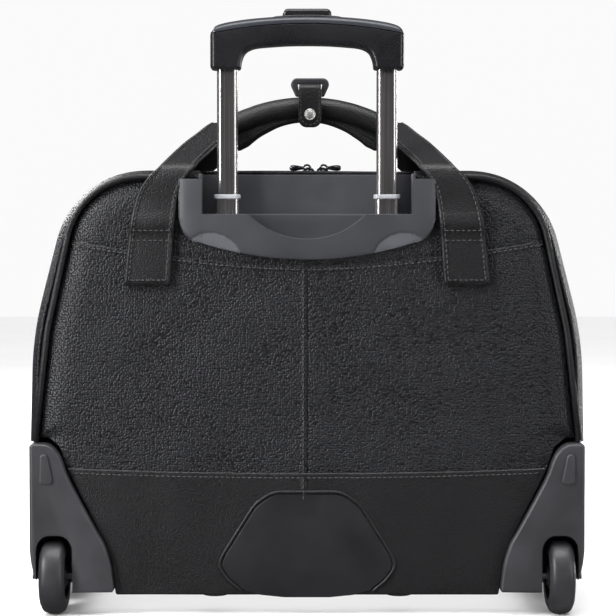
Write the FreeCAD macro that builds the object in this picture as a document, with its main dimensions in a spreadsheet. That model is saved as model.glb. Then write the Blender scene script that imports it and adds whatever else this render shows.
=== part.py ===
import FreeCAD
import Part
import math
import os
import re
import Sketcher
from FreeCAD import Rotation, Vector

# Rolling laptop case, in millimetres. Z is up, Y runs from the trolley side (-Y) to the
# pocket side (+Y) and X runs across. The origin is on the floor, midway in X and in Y.
# The trolley stands as it is used beside a desk: legs a hand above the case.

SIZES = {
    # Outside of the case
    "half_depth": 112,        # origin to the wheels' rear rim, and to the pocket's face
    "shell_back": 90,         # origin to the rear and the front leather faces
    "half_low": 221,          # half width at the base
    "half_waist": 216.5,      # half width where the sides start to lean in
    "waist_height": 222,
    "waist_round": 250,
    "shoulder_half": 184,     # half width where the sides would meet the flat top
    "shoulder_round": 70,
    "case_top": 351,
    "base_under": 16,         # underside of the base tray
    "tray_floor": 4,
    "tray_lip": 60,           # height at which the case opens
    "skin": 3,                # leather with its backing
    "seam_gap": 0.4,          # half the gap between the two zipper tapes
    "tape_half": 3,           # a tape's width from the parting plane
    "gusset_edge": 84.8,      # where the gussets meet the piping
    # Rear and front panels
    "panel_thick": 4,
    "panel_low_half": 214,
    "panel_waist_half": 204.5,
    "panel_waist_height": 225.5,
    "panel_shoulder_half": 177.5,
    "panel_top": 346,
    "lower_seam": 113,
    "piping_radius": 2.5,
    # Wheels and corner guards
    "guard_half": 220.4,
    "guard_inner": 153,
    "guard_under": 18,
    "guard_top": 137,
    "guard_rear": 98,
    "guard_front": 35,
    "guard_wall": 3,
    "wheel_radius": 30,
    "wheel_width": 20,
    "wheel_half": 202,        # origin to the wheel's middle, across
    "axle_radius": 3,
    "axle_back": 82,          # origin to the axle, along the depth
    "bearing_radius": 8,
    "bearing_width": 5,
    "running_gap": 0.05,
    "rim_radius": 22,
    "well_radius": 37.6,      # the room round the wheel, with rounded shoulders
    "well_round": 10,
    "well_middle": 200.9,
    "well_half": 14.5,
    "well_top": "=wheel_radius + well_radius",
    "axle_end": 18.8,         # how far the axle reaches from the well's middle
    # Trolley
    "pole_half": 63.5,
    "pole_back": 78,
    "upper_wide": 16.5,
    "upper_deep": 10,
    "middle_wide": 18.3,
    "middle_deep": 12,
    "outer_wide": 21.5,
    "outer_deep": 15,
    "slide_gap": 0.1,
    "tube_round": 4,
    "outer_foot": 30,
    "outer_top": 318,
    "middle_foot": 47,
    "collar_low": 331.2,
    "collar_high": 334.6,
    "collar_wide": 21,
    "collar_deep": 14.6,
    "upper_foot": 170,
    "upper_top": 452,
    "pin_height": 180,
    "rod_radius": 2,
    # Trolley grip
    "grip_half": 76.7,
    "grip_under": 433.7,
    "grip_deep": 26,
    "grip_seam_end": 461,
    "grip_seam_round": 372,
    "grip_top_end": 468,
    "grip_top_round": 377,
    "button_half": 19.5,
    "button_top": 482,
    "bar_low": 460.5,
    "bar_high": 462.5,
    # Trolley well and bezel
    "bezel_half": 101.7,
    "bezel_top": 346.7,
    "bezel_proud": 8,
    "mouth_half": 83.2,
    "mouth_floor": 319,
    "cup_half": 86,
    "cup_under": 296,
    "cup_front": 63,
    "scoop_round": 65,
    "scoop_centre": 364,
    "scoop_deep": 20,
    # Carry handles
    "hinge_height": 354,
    "hinge_back": 91.5,
    "strap_thick": 3,
    "strap_slope": 27,        # degrees above level
    "strap_run": 80,
    "roll_radius": 8.9,
    "roll_bend": 133.7,
    "roll_crown": 407.9,
    "roll_back": 11,
    "roll_half": 62,
    # Keeper on the rear handle
    "keeper_left": -7.2,
    "keeper_width": 19,
    "keeper_skin": 2.4,
    "keeper_middle": "=keeper_left + keeper_width / 2",
    "ring_half": 16.5,
    "ring_bar": 4.9,
    "ring_foot": 417,
    "ring_top": 432.4,
    "flap_tip": 391,
    "flap_top": 422.5,
    "flap_back": 25.8,
    "snap_radius": 4.75,
    # Main zipper's sliders and pulls
    "slider_low": "=case_top + 1.2",
    "slider_long": 10,
    "slider_wide": 8,
    "slider_high": 5,
    "pull_long": 14,
    "pull_wide": 5,
    "pull_thick": 1.8,
    # Front pocket
    "pocket_half": 165,
    "pocket_low": 75,
    "pocket_top": 255,
    "pocket_skin": 3,
}

doc = FreeCAD.newDocument("rolling_laptop_case")
sheet = doc.addObject("Spreadsheet::Sheet", "Sizes")
for row, (alias, number) in enumerate(SIZES.items(), start=1):
    sheet.set(f"A{row}", str(number))
    sheet.setAlias(f"A{row}", alias)
doc.recompute()

nodes = {}


# ---------------------------------------------------------------- helpers

def formula(text):
    """An expression on the sheet, from a formula written with bare size names."""
    def on_sheet(found):
        word = found.group()
        return f"Sizes.{word}" if word in SIZES else word
    return re.sub(r"[a-z_]+", on_sheet, str(text))


def value(text):
    """The number that a formula stands for."""
    return float(sheet.evalExpression(formula(text)))


def bind(thing, **formulas):
    """Tie properties of an object to formulas on the sheet."""
    for prop, text in formulas.items():
        thing.setExpression(prop, formula(text))


def place(thing, x=0, y=0, z=0):
    """Tie an object's position to formulas on the sheet."""
    for axis, text in zip("xyz", (x, y, z)):
        thing.setExpression(f"Placement.Base.{axis}", formula(text))
    return thing


def node(name, thing):
    """Make an object a sub-part: its label names its file."""
    thing.Label = name
    nodes[name] = thing
    return thing


def mirrored(points, crown=None, base=None):
    """A closed outline from its right half, going up. A third number in a point is the
    radius of the arc that leads to it, positive where the arc turns left. crown and base
    are the radii of the arcs that join the halves at the end and at the start."""
    radii = [point[2] if len(point) > 2 else None for point in points[1:]]
    right = [tuple(points[0][:2]) + ((base,) if base else ())] + list(points[1:])
    left = []
    for point, radius in zip(reversed(points), [crown] + radii[::-1]):
        corner = (f"-({point[0]})", point[1])
        left.append(corner + ((radius,) if radius else ()))
    return right + left


def arc_between(start, end, radius):
    """The shorter arc between two points of a sketch; a positive radius turns left."""
    chord = end - start
    left = Vector(-chord.y, chord.x, 0).normalize() * math.copysign(1, radius)
    rise = math.sqrt(radius ** 2 - (chord.Length / 2) ** 2)
    centre = (start + end) / 2 + left * rise
    return Part.Arc(start, centre - left * abs(radius), end)


PLANE_OFFSETS = {"XY": "{}", "XZ": "-({})", "YZ": "{}"}


def draw(body, name, plane, at, outline):
    """A closed sketch on one of the body's own planes, moved along its normal to at.
    Every corner, and every arc's radius, is a constraint with its formula."""
    sketch = body.newObject("Sketcher::SketchObject", name)
    role = f"{plane}_Plane"
    base = next(item for item in body.Origin.OriginFeatures if item.Role == role)
    sketch.AttachmentSupport = [(base, "")]
    sketch.MapMode = "FlatFace"
    bind(sketch, **{"AttachmentOffset.Base.z": PLANE_OFFSETS[plane].format(at)})
    corners = [Vector(value(point[0]), value(point[1]), 0) for point in outline]
    starts = []
    for index, corner in enumerate(corners):
        follower = (index + 1) % len(corners)
        radius = outline[follower][2] if len(outline[follower]) > 2 else None
        if radius is None:
            edge = Part.LineSegment(corner, corners[follower])
        else:
            edge = arc_between(corner, corners[follower], value(radius))
        line = sketch.addGeometry(edge)
        first = 1 if sketch.getPoint(line, 1).distanceToPoint(corner) < 1e-6 else 2
        starts.append((line, first, radius))
    for index, (line, first, radius) in enumerate(starts):
        following, following_first, _ = starts[(index + 1) % len(starts)]
        last = 3 - first
        sketch.addConstraint(
            Sketcher.Constraint("Coincident", line, last, following, following_first))
        for kind, text in zip(("DistanceX", "DistanceY"), outline[index][:2]):
            rule = Sketcher.Constraint(kind, -1, 1, line, first, value(text))
            number = sketch.addConstraint(rule)
            sketch.setExpression(f"Constraints[{number}]", formula(text))
        if radius is not None:
            rule = Sketcher.Constraint("Radius", line, abs(value(radius)))
            number = sketch.addConstraint(rule)
            sketch.setExpression(f"Constraints[{number}]", formula(f"abs({radius})"))
    return sketch


def prism(name, plane, outline, start, length, rounds=()):
    """A body padded from an outline, from start towards the positive axis. rounds holds
    (radius, corners) pairs: those corners of the outline are filleted."""
    body = doc.addObject("PartDesign::Body", name)
    pad = body.newObject("PartDesign::Pad", f"{name}_pad")
    pad.Profile = draw(body, f"{name}_outline", plane, start, outline)
    pad.Reversed = plane == "XZ"
    bind(pad, Length=length)
    doc.recompute()
    axes = {"XY": ("x", "y"), "XZ": ("x", "z"), "YZ": ("y", "z")}[plane]
    last = pad
    for radius, corners in rounds:
        wanted = [(value(corner[0]), value(corner[1])) for corner in corners]
        edges = []
        for number, edge in enumerate(last.Shape.Edges, start=1):
            ends = [tuple(getattr(spot.Point, axis) for axis in axes) for spot in edge.Vertexes]
            along_pad = len(ends) == 2 and math.dist(*ends) < 1e-6
            if along_pad and any(math.dist(ends[0], corner) < 0.01 for corner in wanted):
                edges.append(f"Edge{number}")
        fillet = body.newObject("PartDesign::Fillet", f"{name}_round")
        fillet.Base = (last, edges)
        bind(fillet, Radius=radius)
        doc.recompute()
        last = fillet
    return body


def turned(name, outline):
    """A body of revolution about X, from an outline of (x, radius) points."""
    body = doc.addObject("PartDesign::Body", name)
    spin = body.newObject("PartDesign::Revolution", f"{name}_turn")
    spin.Profile = draw(body, f"{name}_outline", "XY", 0, outline)
    axis = next(item for item in body.Origin.OriginFeatures if item.Role == "X_Axis")
    spin.ReferenceAxis = (axis, [""])
    doc.recompute()
    return body


def block(name, x, y, z, long, deep, high):
    """A Part box from its lowest corner and its three lengths."""
    box = doc.addObject("Part::Box", name)
    bind(box, Length=long, Width=deep, Height=high)
    return place(box, x, y, z)


def rod(name, axis, x, y, z, radius, length):
    """A Part cylinder that starts at a point and runs along a positive axis."""
    cylinder = doc.addObject("Part::Cylinder", name)
    bind(cylinder, Radius=radius, Height=length)
    turn = {"X": Rotation(Vector(0, 1, 0), 90), "Y": Rotation(Vector(1, 0, 0), -90),
            "Z": Rotation()}[axis]
    cylinder.Placement.Rotation = turn
    return place(cylinder, x, y, z)


def cut(name, base, *tools):
    """What is left of base without the tools."""
    tool = tools[0]
    if len(tools) > 1:
        tool = doc.addObject("Part::MultiFuse", f"{name}_tools")
        tool.Shapes = list(tools)
    result = doc.addObject("Part::Cut", name)
    result.Base = base
    result.Tool = tool
    return result


def fuse(name, *pieces):
    """Several shapes as one solid."""
    result = doc.addObject("Part::MultiFuse", name)
    result.Shapes = list(pieces)
    return result


def group(name, pieces):
    """Separate solids of one kind in one sub-part."""
    result = doc.addObject("Part::Compound", name)
    result.Links = list(pieces)
    return result


def oval(wide, deep):
    """A rounded tube's outline as seen from above, before its corners are rounded."""
    return [(f"-({wide}) / 2", f"-({deep}) / 2"), (f"({wide}) / 2", f"-({deep}) / 2"),
            (f"({wide}) / 2", f"({deep}) / 2"), (f"-({wide}) / 2", f"({deep}) / 2")]


def oval_bar(name, wide, deep, low, high, radius="tube_round"):
    """An upright bar of rounded section, standing on the Z axis."""
    outline = oval(wide, deep)
    return prism(name, "XY", outline, low, f"({high}) - ({low})", [(radius, outline)])


SIDES = (("left", -1), ("right", 1))


# ---------------------------------------------------------------- case

def silhouette(inset, low):
    """The case seen from behind, drawn in by inset and cut off at a height."""
    half = [(f"half_low - {inset}", low),
            (f"half_waist - {inset}", "waist_height"),
            (f"shoulder_half - {inset} * 0.8", f"case_top - {inset}")]
    outline = mirrored(half)
    rounds = [(f"waist_round - {inset}", [outline[1], outline[4]]),
              (f"shoulder_round - {inset}", [outline[2], outline[3]])]
    return outline, rounds


def arch(name, inset, thick, low, start, length):
    """A band that follows the case's outline up one side, over the top and down."""
    outer, outer_rounds = silhouette(inset, low)
    inner, inner_rounds = silhouette(f"({inset} + {thick})", f"{low} - 1")
    outside = prism(f"{name}_outside", "XZ", outer, start, length, outer_rounds)
    inside = prism(f"{name}_inside", "XZ", inner, f"{start} - 1", f"{length} + 2",
                   inner_rounds)
    return cut(name, outside, inside)


def case_gussets():
    """The two leather walls between the panels and the main zipper, and its tapes."""
    rear = arch("rear_arch", "0", "skin", "tray_lip", "-gusset_edge",
                "gusset_edge - tape_half - 0.2")
    guard_room = block("guard_room", -300, "-shell_back", 0, 600,
                       "shell_back - guard_front", "guard_top + 1.5")
    cup_room = block("cup_room", "-cup_half", "-shell_back", "case_top - 20",
                     "2 * cup_half", "shell_back - cup_front", 30)
    node("rear_gusset", cut("rear_gusset", rear, guard_room, cup_room))
    front = arch("front_gusset", "0", "skin", "tray_lip + 2", "tape_half + 0.2",
                 "gusset_edge - tape_half - 0.2")
    node("front_gusset", front)
    tape_width = "tape_half - seam_gap"
    node("rear_zipper_tape", arch("rear_zipper_tape", "0.3", "2", "tray_lip + 0.5",
                                  "-tape_half", tape_width))
    node("front_zipper_tape", arch("front_zipper_tape", "0.3", "2", "tray_lip + 2",
                                   "seam_gap", tape_width))


def case_base():
    """The stiff tray under the case: floor, low front wall and low side walls."""
    rear_half = "guard_inner - 1"
    plan = mirrored([(rear_half, "-(shell_back - panel_thick)"),
                     (rear_half, "-guard_front"),
                     ("half_low", "-guard_front"), ("half_low", "shell_back")])
    corners = [plan[3], plan[4]]
    outside = prism("tray_outside", "XY", plan, "base_under", "tray_lip - base_under",
                    [(20, corners)])
    room = mirrored([("half_low - skin", "-shell_back"),
                     ("half_low - skin", "shell_back - skin")])
    inside = prism("tray_inside", "XY", room, "base_under + tray_floor", "tray_lip",
                   [(17, [room[1], room[2]])])
    holes = [rod(f"foot_hole_{side}", "Z", sign * 150, 60, 0, 2, 40) for side, sign in SIDES]
    holes += [rod(f"rivet_hole_{x}", "Z", x, "-pole_back", 0, 2, 40) for x in RIVET_PLACES]
    node("base_tray", cut("base_tray", outside, inside, *holes))


RIVET_PLACES = (-40, -20, 20, 40)


def case_panels():
    """Leather over foam: the rear panel, the plain band under it and the front panel."""
    outer_face = "-shell_back"
    rear = mirrored([("191", "lower_seam"), ("197", "131"),
                     ("206", "guard_top + 1"), ("panel_low_half", "guard_top + 1.5"),
                     ("panel_waist_half", "panel_waist_height"),
                     ("panel_shoulder_half", "panel_top")])
    rounds = [(200, [rear[4], rear[7]]), (58, [rear[5], rear[6]])]
    panel = prism("rear_panel_blank", "XZ", rear, outer_face, "panel_thick", rounds)
    cup_room = block("panel_cup_room", "-cup_half", "-shell_back - 1", "cup_under",
                     "2 * cup_half", "panel_thick + 2", 80)
    node("back_panel", cut("back_panel", panel, cup_room))
    lower = mirrored([("guard_inner - 0.5", "base_under"), ("156", "42.5"),
                      ("161", "57"), ("191", "lower_seam - 0.3")])
    node("lower_back_panel",
         prism("lower_back_panel", "XZ", lower, outer_face, "panel_thick"))
    front = mirrored([("panel_low_half", "tray_lip + 4"),
                      ("panel_waist_half", "panel_waist_height"),
                      ("panel_shoulder_half", "panel_top")])
    rounds = [(200, [front[1], front[4]]), (58, [front[2], front[3]])]
    node("front_panel", prism("front_panel", "XZ", front, "shell_back - panel_thick",
                              "panel_thick", rounds))


def piping_run(side, depth, low, end):
    """One side of a piping: up the panel's edge, round its shoulder and along the top."""
    offset = value("piping_radius") + 0.05
    top = value("panel_top") + offset
    foot = Vector(side * (value("panel_low_half") + offset), depth, low)
    waist = Vector(side * (value("panel_waist_half") + offset), depth,
                   value("panel_waist_height"))
    crest = Vector(side * (value("panel_shoulder_half") + offset), depth, top)
    stops = [foot, waist, crest, Vector(side * end, depth, top)]
    bends = [200 + offset, 58 + offset]
    edges = []
    begin = foot
    for index, bend in enumerate(bends, start=1):
        corner = stops[index]
        back = (stops[index - 1] - corner).normalize()
        ahead = (stops[index + 1] - corner).normalize()
        half_angle = back.getAngle(ahead) / 2
        reach = bend / math.tan(half_angle)
        middle = (back + ahead).normalize()
        near = corner + middle * (bend / math.sin(half_angle) - bend)
        edges.append(Part.LineSegment(begin, corner + back * reach).toShape())
        edges.append(Part.Arc(corner + back * reach, near, corner + ahead * reach).toShape())
        begin = corner + ahead * reach
    edges.append(Part.LineSegment(begin, stops[-1]).toShape())
    path = Part.Wire(edges)
    section = Part.Wire(Part.Circle(foot, waist - foot, value("piping_radius")).toShape())
    return path.makePipeShell([section], True, False)


def pipings():
    """Round piping along the edges of the rear panel and of the front panel."""
    height = value("guard_top") + 2.5
    depth = value("shell_back - piping_radius - 0.1")
    rear = doc.addObject("Part::Feature", "rear_piping")
    rear.Shape = Part.Compound([
        piping_run(sign, -depth, height, value("bezel_half") + 0.8) for _, sign in SIDES])
    node("rear_piping", rear)
    front = doc.addObject("Part::Feature", "front_piping")
    runs = [piping_run(sign, depth, value("tray_lip") + 4, 0) for _, sign in SIDES]
    front.Shape = runs[0].fuse(runs[1]).removeSplitter()
    node("front_piping", front)


def stiffeners():
    """The hidden wall in front of the trolley, and the laptop's padded sleeve on it."""
    outline, rounds = silhouette("(skin + 0.5)", "base_under + tray_floor")
    node("back_board", prism("back_board", "XZ", outline, "-guard_front", "3", rounds))
    sleeve = block("sleeve_outside", -190, "-guard_front + 3", 24, 380, 26, 266)
    slot = block("sleeve_slot", -183, "-guard_front + 7", 30, 366, 18, 300)
    node("laptop_sleeve", cut("laptop_sleeve", sleeve, slot))
    back = "shell_back - panel_thick"
    pocket = block("organizer_outside", -150, f"{back} - 10", 90, 300, 10, 165)
    mouth = block("organizer_mouth", -146, f"{back} - 8", 94, 292, 7, 200)
    node("organizer_pocket", cut("organizer_pocket", pocket, mouth))


def front_pocket():
    """The pocket on the front: a padded face with side walls, its zipper and slider."""
    front = "shell_back"
    deep = "half_depth - shell_back"
    plan = mirrored([("pocket_half", "pocket_low"), ("pocket_half", "pocket_top")])
    rounds = [(24, [plan[0], plan[3]])]
    outside = prism("pocket_outside", "XZ", plan, front, deep, rounds)
    room = mirrored([("pocket_half - pocket_skin", "pocket_low + pocket_skin"),
                     ("pocket_half - pocket_skin", "pocket_top + 5")])
    inside = prism("pocket_inside", "XZ", room, f"{front} - 1",
                   f"{deep} - pocket_skin + 1", [(21, [room[0], room[3]])])
    node("front_pocket", cut("front_pocket", outside, inside))
    node("pocket_zipper",
         block("pocket_zipper", "-(pocket_half - pocket_skin - 0.1)", "shell_back + 0.1",
               "pocket_top - 3", "2 * (pocket_half - pocket_skin - 0.1)",
               "half_depth - shell_back - pocket_skin - 0.2", 2))
    slider = block("pocket_slider_body", -150, "shell_back + 2", "pocket_top - 0.7", 12, 7, 4)
    pull = block("pocket_slider_pull", -163, "shell_back + 3.5", "pocket_top + 1.5",
                 14, 4, 1.6)
    node("pocket_slider", fuse("pocket_slider", slider, pull))


def feet():
    """Two rubber feet under the front edge, with the screws that hold them."""
    bodies = []
    screws = []
    for side, sign in SIDES:
        cone = doc.addObject("Part::Cone", f"foot_cone_{side}")
        bind(cone, Radius1="12", Radius2="14", Height="base_under")
        place(cone, sign * 150, 60, 0)
        recess = rod(f"foot_recess_{side}", "Z", sign * 150, 60, -1, 4, 6)
        hole = rod(f"foot_bore_{side}", "Z", sign * 150, 60, -1, 2, 30)
        bodies.append(cut(f"foot_{side}", cone, recess, hole))
        head = rod(f"foot_screw_head_{side}", "Z", sign * 150, 60, 2.5, 4, 2.5)
        shank = rod(f"foot_screw_shank_{side}", "Z", sign * 150, 60, 4, 2, 16)
        screws.append(fuse(f"foot_screw_{side}", head, shank))
    node("front_feet", group("front_feet", bodies))
    node("foot_screws", group("foot_screws", screws))


# ---------------------------------------------------------------- wheels

def corner_guard(side, sign):
    """A moulded corner with a wheel well open to the floor and to the rear."""
    def across(start, width):
        """The lower end of a span that is given for the right side."""
        return start if sign > 0 else f"-({start} + {width})"

    def spread(points):
        return [(f"{sign} * ({x})", z) for x, z in points]

    shape = spread([("guard_inner", "guard_under"), ("156.6", "42"), ("161.4", "56.3"),
                    ("191.8", "114"), ("195.6", "125"), ("200.4", "132"),
                    ("207", "guard_top - 1"), ("guard_half", "guard_top"),
                    ("guard_half", "52"), ("219.6", "44"), ("217.7", "33"),
                    ("214", "24"), ("208", "guard_under")])
    depth = "guard_rear - guard_front"
    solid = prism(f"guard_solid_{side}", "XZ", shape, "-guard_rear", depth)
    ceiling = "well_top + guard_wall"
    upper = spread([("170", ceiling), ("guard_half - guard_wall", ceiling),
                    ("guard_half - guard_wall", "guard_top - guard_wall"),
                    ("208", "guard_top - 4.5"), ("200.5", "127.5"), ("195", "113")])
    room = prism(f"guard_room_{side}", "XZ", upper, "-guard_rear + guard_wall", depth)
    inner_wide = "well_middle - well_half - guard_wall - 160"
    inner = block(f"guard_pocket_{side}", across("160", inner_wide),
                  "-guard_rear + guard_wall", "guard_under + 4", inner_wide, depth,
                  f"{ceiling} - guard_under - 4")
    shoulder = "well_half - well_round"
    well = turned(f"wheel_well_{side}", [
        ("-well_half", 0), ("well_half", 0), ("well_half", "well_radius - well_round"),
        (shoulder, "well_radius", "well_round"), (f"-({shoulder})", "well_radius"),
        ("-well_half", "well_radius - well_round", "well_round")])
    place(well, f"{sign} * well_middle", "-axle_back", "wheel_radius")
    below = block(f"wheel_gap_{side}", across("well_middle - well_half", "2 * well_half"),
                  "-2 * guard_rear", -1, "2 * well_half",
                  "2 * guard_rear - axle_back + well_radius", "wheel_radius + 1")
    axle = (across("well_middle - axle_end", "2 * axle_end"), "-axle_back", "wheel_radius",
            "axle_radius", "2 * axle_end")
    name = f"wheel_housing_{side}"
    bore = rod(f"axle_hole_{side}", "X", *axle)
    node(name, cut(name, solid, room, inner, well, below, bore))
    return rod(f"axle_{side}", "X", *axle)


def wheel(side, sign):
    """A tyre on its hub, with two bearings that run on the axle."""
    half = "wheel_width / 2"
    tread = turned(f"tyre_{side}", [
        (f"-{half}", "rim_radius"), (half, "rim_radius"), (half, "wheel_radius - 2.5"),
        (f"{half} - 2.5", "wheel_radius", "2.5"), (f"-{half} + 2.5", "wheel_radius"),
        (f"-{half}", "wheel_radius - 2.5", "2.5")])
    seat = f"{half} - bearing_width"
    hub = turned(f"hub_{side}", [
        (f"-({seat})", "5"), (seat, "5"), (seat, "bearing_radius"),
        (half, "bearing_radius"), (half, "rim_radius"), (f"-{half}", "rim_radius"),
        (f"-{half}", "bearing_radius"), (f"-({seat})", "bearing_radius")])
    bore = "axle_radius + running_gap"
    races = []
    for end in (-1, 1):
        inner = f"{end} * ({seat})"
        outer = f"{end} * {half}"
        low, high = (outer, inner) if end < 0 else (inner, outer)
        races.append(turned(f"race_{side}_{end + 1}", [
            (low, bore), (high, bore), (high, "bearing_radius"), (low, "bearing_radius")]))
    for piece in (tread, hub, *races):
        place(piece, f"{sign} * wheel_half", "-axle_back", "wheel_radius")
    node(f"tyre_{side}", tread)
    node(f"hub_{side}", hub)
    node(f"bearings_{side}", group(f"bearings_{side}", races))


def wheels():
    axles = []
    for side, sign in SIDES:
        axles.append(corner_guard(side, sign))
        wheel(side, sign)
    node("wheel_axles", group("wheel_axles", axles))


# ---------------------------------------------------------------- trolley

def kick_plate():
    """A smooth plastic plate low on the rear panel, against scuffs."""
    outline = mirrored([("18", "14"), ("38", "16"), ("51", "19.5"), ("62", "28.5"),
                        ("69.3", "38"), ("66", "47"), ("41", "87"), ("27", "96")])
    rounds = [(8, [outline[4], outline[11]]), (12, [outline[6], outline[9]])]
    node("kick_plate", prism("kick_plate", "XZ", outline, "-(shell_back + 3)", "3", rounds))


def trolley_mouth():
    """The plastic cup that the poles rise from, and the bezel round its mouth."""
    bezel = mirrored([("85", "296.5"), ("97", "303.5"), ("bezel_half", "311.6"),
                      ("bezel_half", "bezel_top"), ("mouth_half", "bezel_top"),
                      ("mouth_half", "mouth_floor - 0.4"), ("46.5", "mouth_floor - 0.4")],
                     crown="-scoop_round", base="274")
    rounds = [(8, [bezel[2], bezel[11]])]
    node("trolley_bezel", prism("trolley_bezel", "XZ", bezel,
                                "-(shell_back + bezel_proud)", "bezel_proud", rounds))
    deep = "shell_back - cup_front"
    outside = block("cup_outside", "-cup_half", "-shell_back", "cup_under",
                    "2 * cup_half", deep, "case_top - cup_under")
    mouth = block("cup_mouth", "-mouth_half", "-shell_back - 1", "mouth_floor",
                  "2 * mouth_half", f"{deep} - 1", 80)
    scoop = rod("cup_scoop", "Y", 0, "-shell_back - 1", "scoop_centre", "scoop_round",
                "scoop_deep + 1")
    sockets = []
    for side, sign in SIDES:
        socket = oval_bar(f"cup_socket_{side}", "outer_wide", "outer_deep",
                          "cup_under - 5", "mouth_floor + 5")
        sockets.append(place(socket, f"{sign} * pole_half", "-pole_back", 0))
    node("trolley_well", cut("trolley_well", outside, mouth, scoop, *sockets))


def pole(name, wide, deep, low, high, bore_wide, bore_deep):
    """A drawn tube of rounded section, open at both ends, standing on the Z axis."""
    outside = oval_bar(f"{name}_outside", wide, deep, low, high)
    bore = oval_bar(f"{name}_bore", bore_wide, bore_deep, f"{low} - 1", f"{high} + 1",
                    "tube_round - 1")
    return cut(name, outside, bore)


def poles():
    """Three nested tubes a side, a collar on each middle one, and the lower bracket."""
    collars = []
    for side, sign in SIDES:
        outer = pole(f"outer_tube_{side}", "outer_wide", "outer_deep", "outer_foot",
                     "outer_top", "middle_wide + 2 * slide_gap",
                     "middle_deep + 2 * slide_gap")
        middle = pole(f"middle_tube_{side}", "middle_wide", "middle_deep", "middle_foot",
                      "collar_low", "upper_wide + 2 * slide_gap",
                      "upper_deep + 2 * slide_gap")
        collar = pole(f"collar_{side}", "collar_wide", "collar_deep", "collar_low",
                      "collar_high", "upper_wide + 2 * slide_gap",
                      "upper_deep + 2 * slide_gap")
        blank = pole(f"upper_blank_{side}", "upper_wide", "upper_deep", "upper_foot",
                     "upper_top", "upper_wide - 2.4", "upper_deep - 2.4")
        reach = "upper_wide / 2"
        pin_hole = rod(f"pin_hole_{side}", "X", "0" if sign > 0 else f"-{reach}", 0,
                       "pin_height", "2.05", reach)
        upper = cut(f"upper_tube_{side}", blank, pin_hole)
        for tube in (outer, middle, collar, upper):
            place(tube, f"{sign} * pole_half", "-pole_back", 0)
        node(f"outer_tube_{side}", outer)
        node(f"middle_tube_{side}", middle)
        node(f"upper_tube_{side}", upper)
        collars.append(collar)
        start = "pole_half + 2.5" if sign > 0 else "-(pole_half + upper_wide / 2 - 0.05)"
        pin = rod(f"lock_pin_{side}", "X", start, "-pole_back", "pin_height", 2,
                  "upper_wide / 2 - 2.55")
        node(f"lock_pin_{side}", pin)
    node("tube_collars", group("tube_collars", collars))
    section = mirrored([("78", "base_under + tray_floor"), ("78", "outer_foot"),
                        ("50", "outer_foot"), ("50", "outer_foot - 7")])
    blank = prism("bracket_blank", "XZ", section, "-86", "16")
    holes = [rod(f"bracket_hole_{x}", "Z", x, "-pole_back", 0, 2, 40) for x in RIVET_PLACES]
    node("tube_foot_bracket", cut("tube_foot_bracket", blank, *holes))
    rivets = []
    for x in RIVET_PLACES:
        head = rod(f"rivet_head_{x}", "Z", x, "-pole_back", 23, 3.5, 1.5)
        shank = rod(f"rivet_shank_{x}", "Z", x, "-pole_back", "base_under", 2, 7)
        rivets.append(fuse(f"rivet_{x}", head, shank))
    node("bracket_rivets", group("bracket_rivets", rivets))


def grip():
    """The trolley's grip: moulded body, arched cover, release button and its rods."""
    rear = "-(pole_back + grip_deep / 2)"
    body_outline = mirrored([("45", "449.5"), ("51", "445"), ("53", "grip_under"),
                             ("grip_half", "grip_under"), ("grip_half", "grip_seam_end")],
                            crown="grip_seam_round", base="-318")
    body = prism("grip_blank", "XZ", body_outline, rear, "grip_deep",
                 [(5, [body_outline[3], body_outline[6]])])
    room = block("grip_room", -69, "-pole_back - 7", "bar_low - 4", 138, 14, 30)
    tools = [room]
    for side, sign in SIDES:
        socket = oval_bar(f"grip_socket_{side}", "upper_wide", "upper_deep",
                          "grip_under - 5", "bar_low - 2")
        tools.append(place(socket, f"{sign} * pole_half", "-pole_back", 0))
    screws = []
    for x in (-63.5, 63.5):
        for z in (439, 447):
            tools.append(rod(f"grip_screw_hole_{x}_{z}", "Y", x, "-pole_back + upper_deep / 2",
                             z, 1.5, 30))
            screws.append(rod(f"grip_screw_{x}_{z}", "Y", x, "-pole_back + upper_deep / 2",
                              z, 1.5, "grip_deep / 2 - upper_deep / 2 - 0.5"))
    node("grip_body", cut("grip_body", body, *tools))
    node("grip_screws", group("grip_screws", screws))
    cover_outline = mirrored([("grip_half", "grip_seam_end"), ("grip_half", "grip_top_end")],
                             crown="grip_top_round", base="-grip_seam_round")
    cover = prism("cover_blank", "XZ", cover_outline, f"{rear} + 0.5", "grip_deep - 1",
                  [(5, [cover_outline[1], cover_outline[2]])])
    hole = block("cover_hole", "-button_half - 0.5", "-pole_back - 6.5", 440,
                 "2 * button_half + 1", 13, 60)
    node("grip_cover", cut("grip_cover", cover, hole))
    button = mirrored([("66", "bar_low"), ("66", "bar_high"), ("button_half", "bar_high"),
                       ("button_half", "button_top")])
    node("release_button", prism("release_button", "XZ", button, "-pole_back - 6", "12",
                                 [(5, [button[3], button[4]])]))
    low = "pin_height + 6"
    rods = [rod(f"release_rod_{side}", "Z", f"{sign} * pole_half", "-pole_back", low,
                "rod_radius", f"bar_low - ({low})") for side, sign in SIDES]
    node("release_rods", group("release_rods", rods))


# ---------------------------------------------------------------- carry handles

ANCHOR = [(145, 265), (108, 262), (105.5, 305), (102.5, 325), (102.5, 347.5), (97, 352),
          (122, 352), (133.5, 337), (138, 322), (141, 306)]


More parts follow.
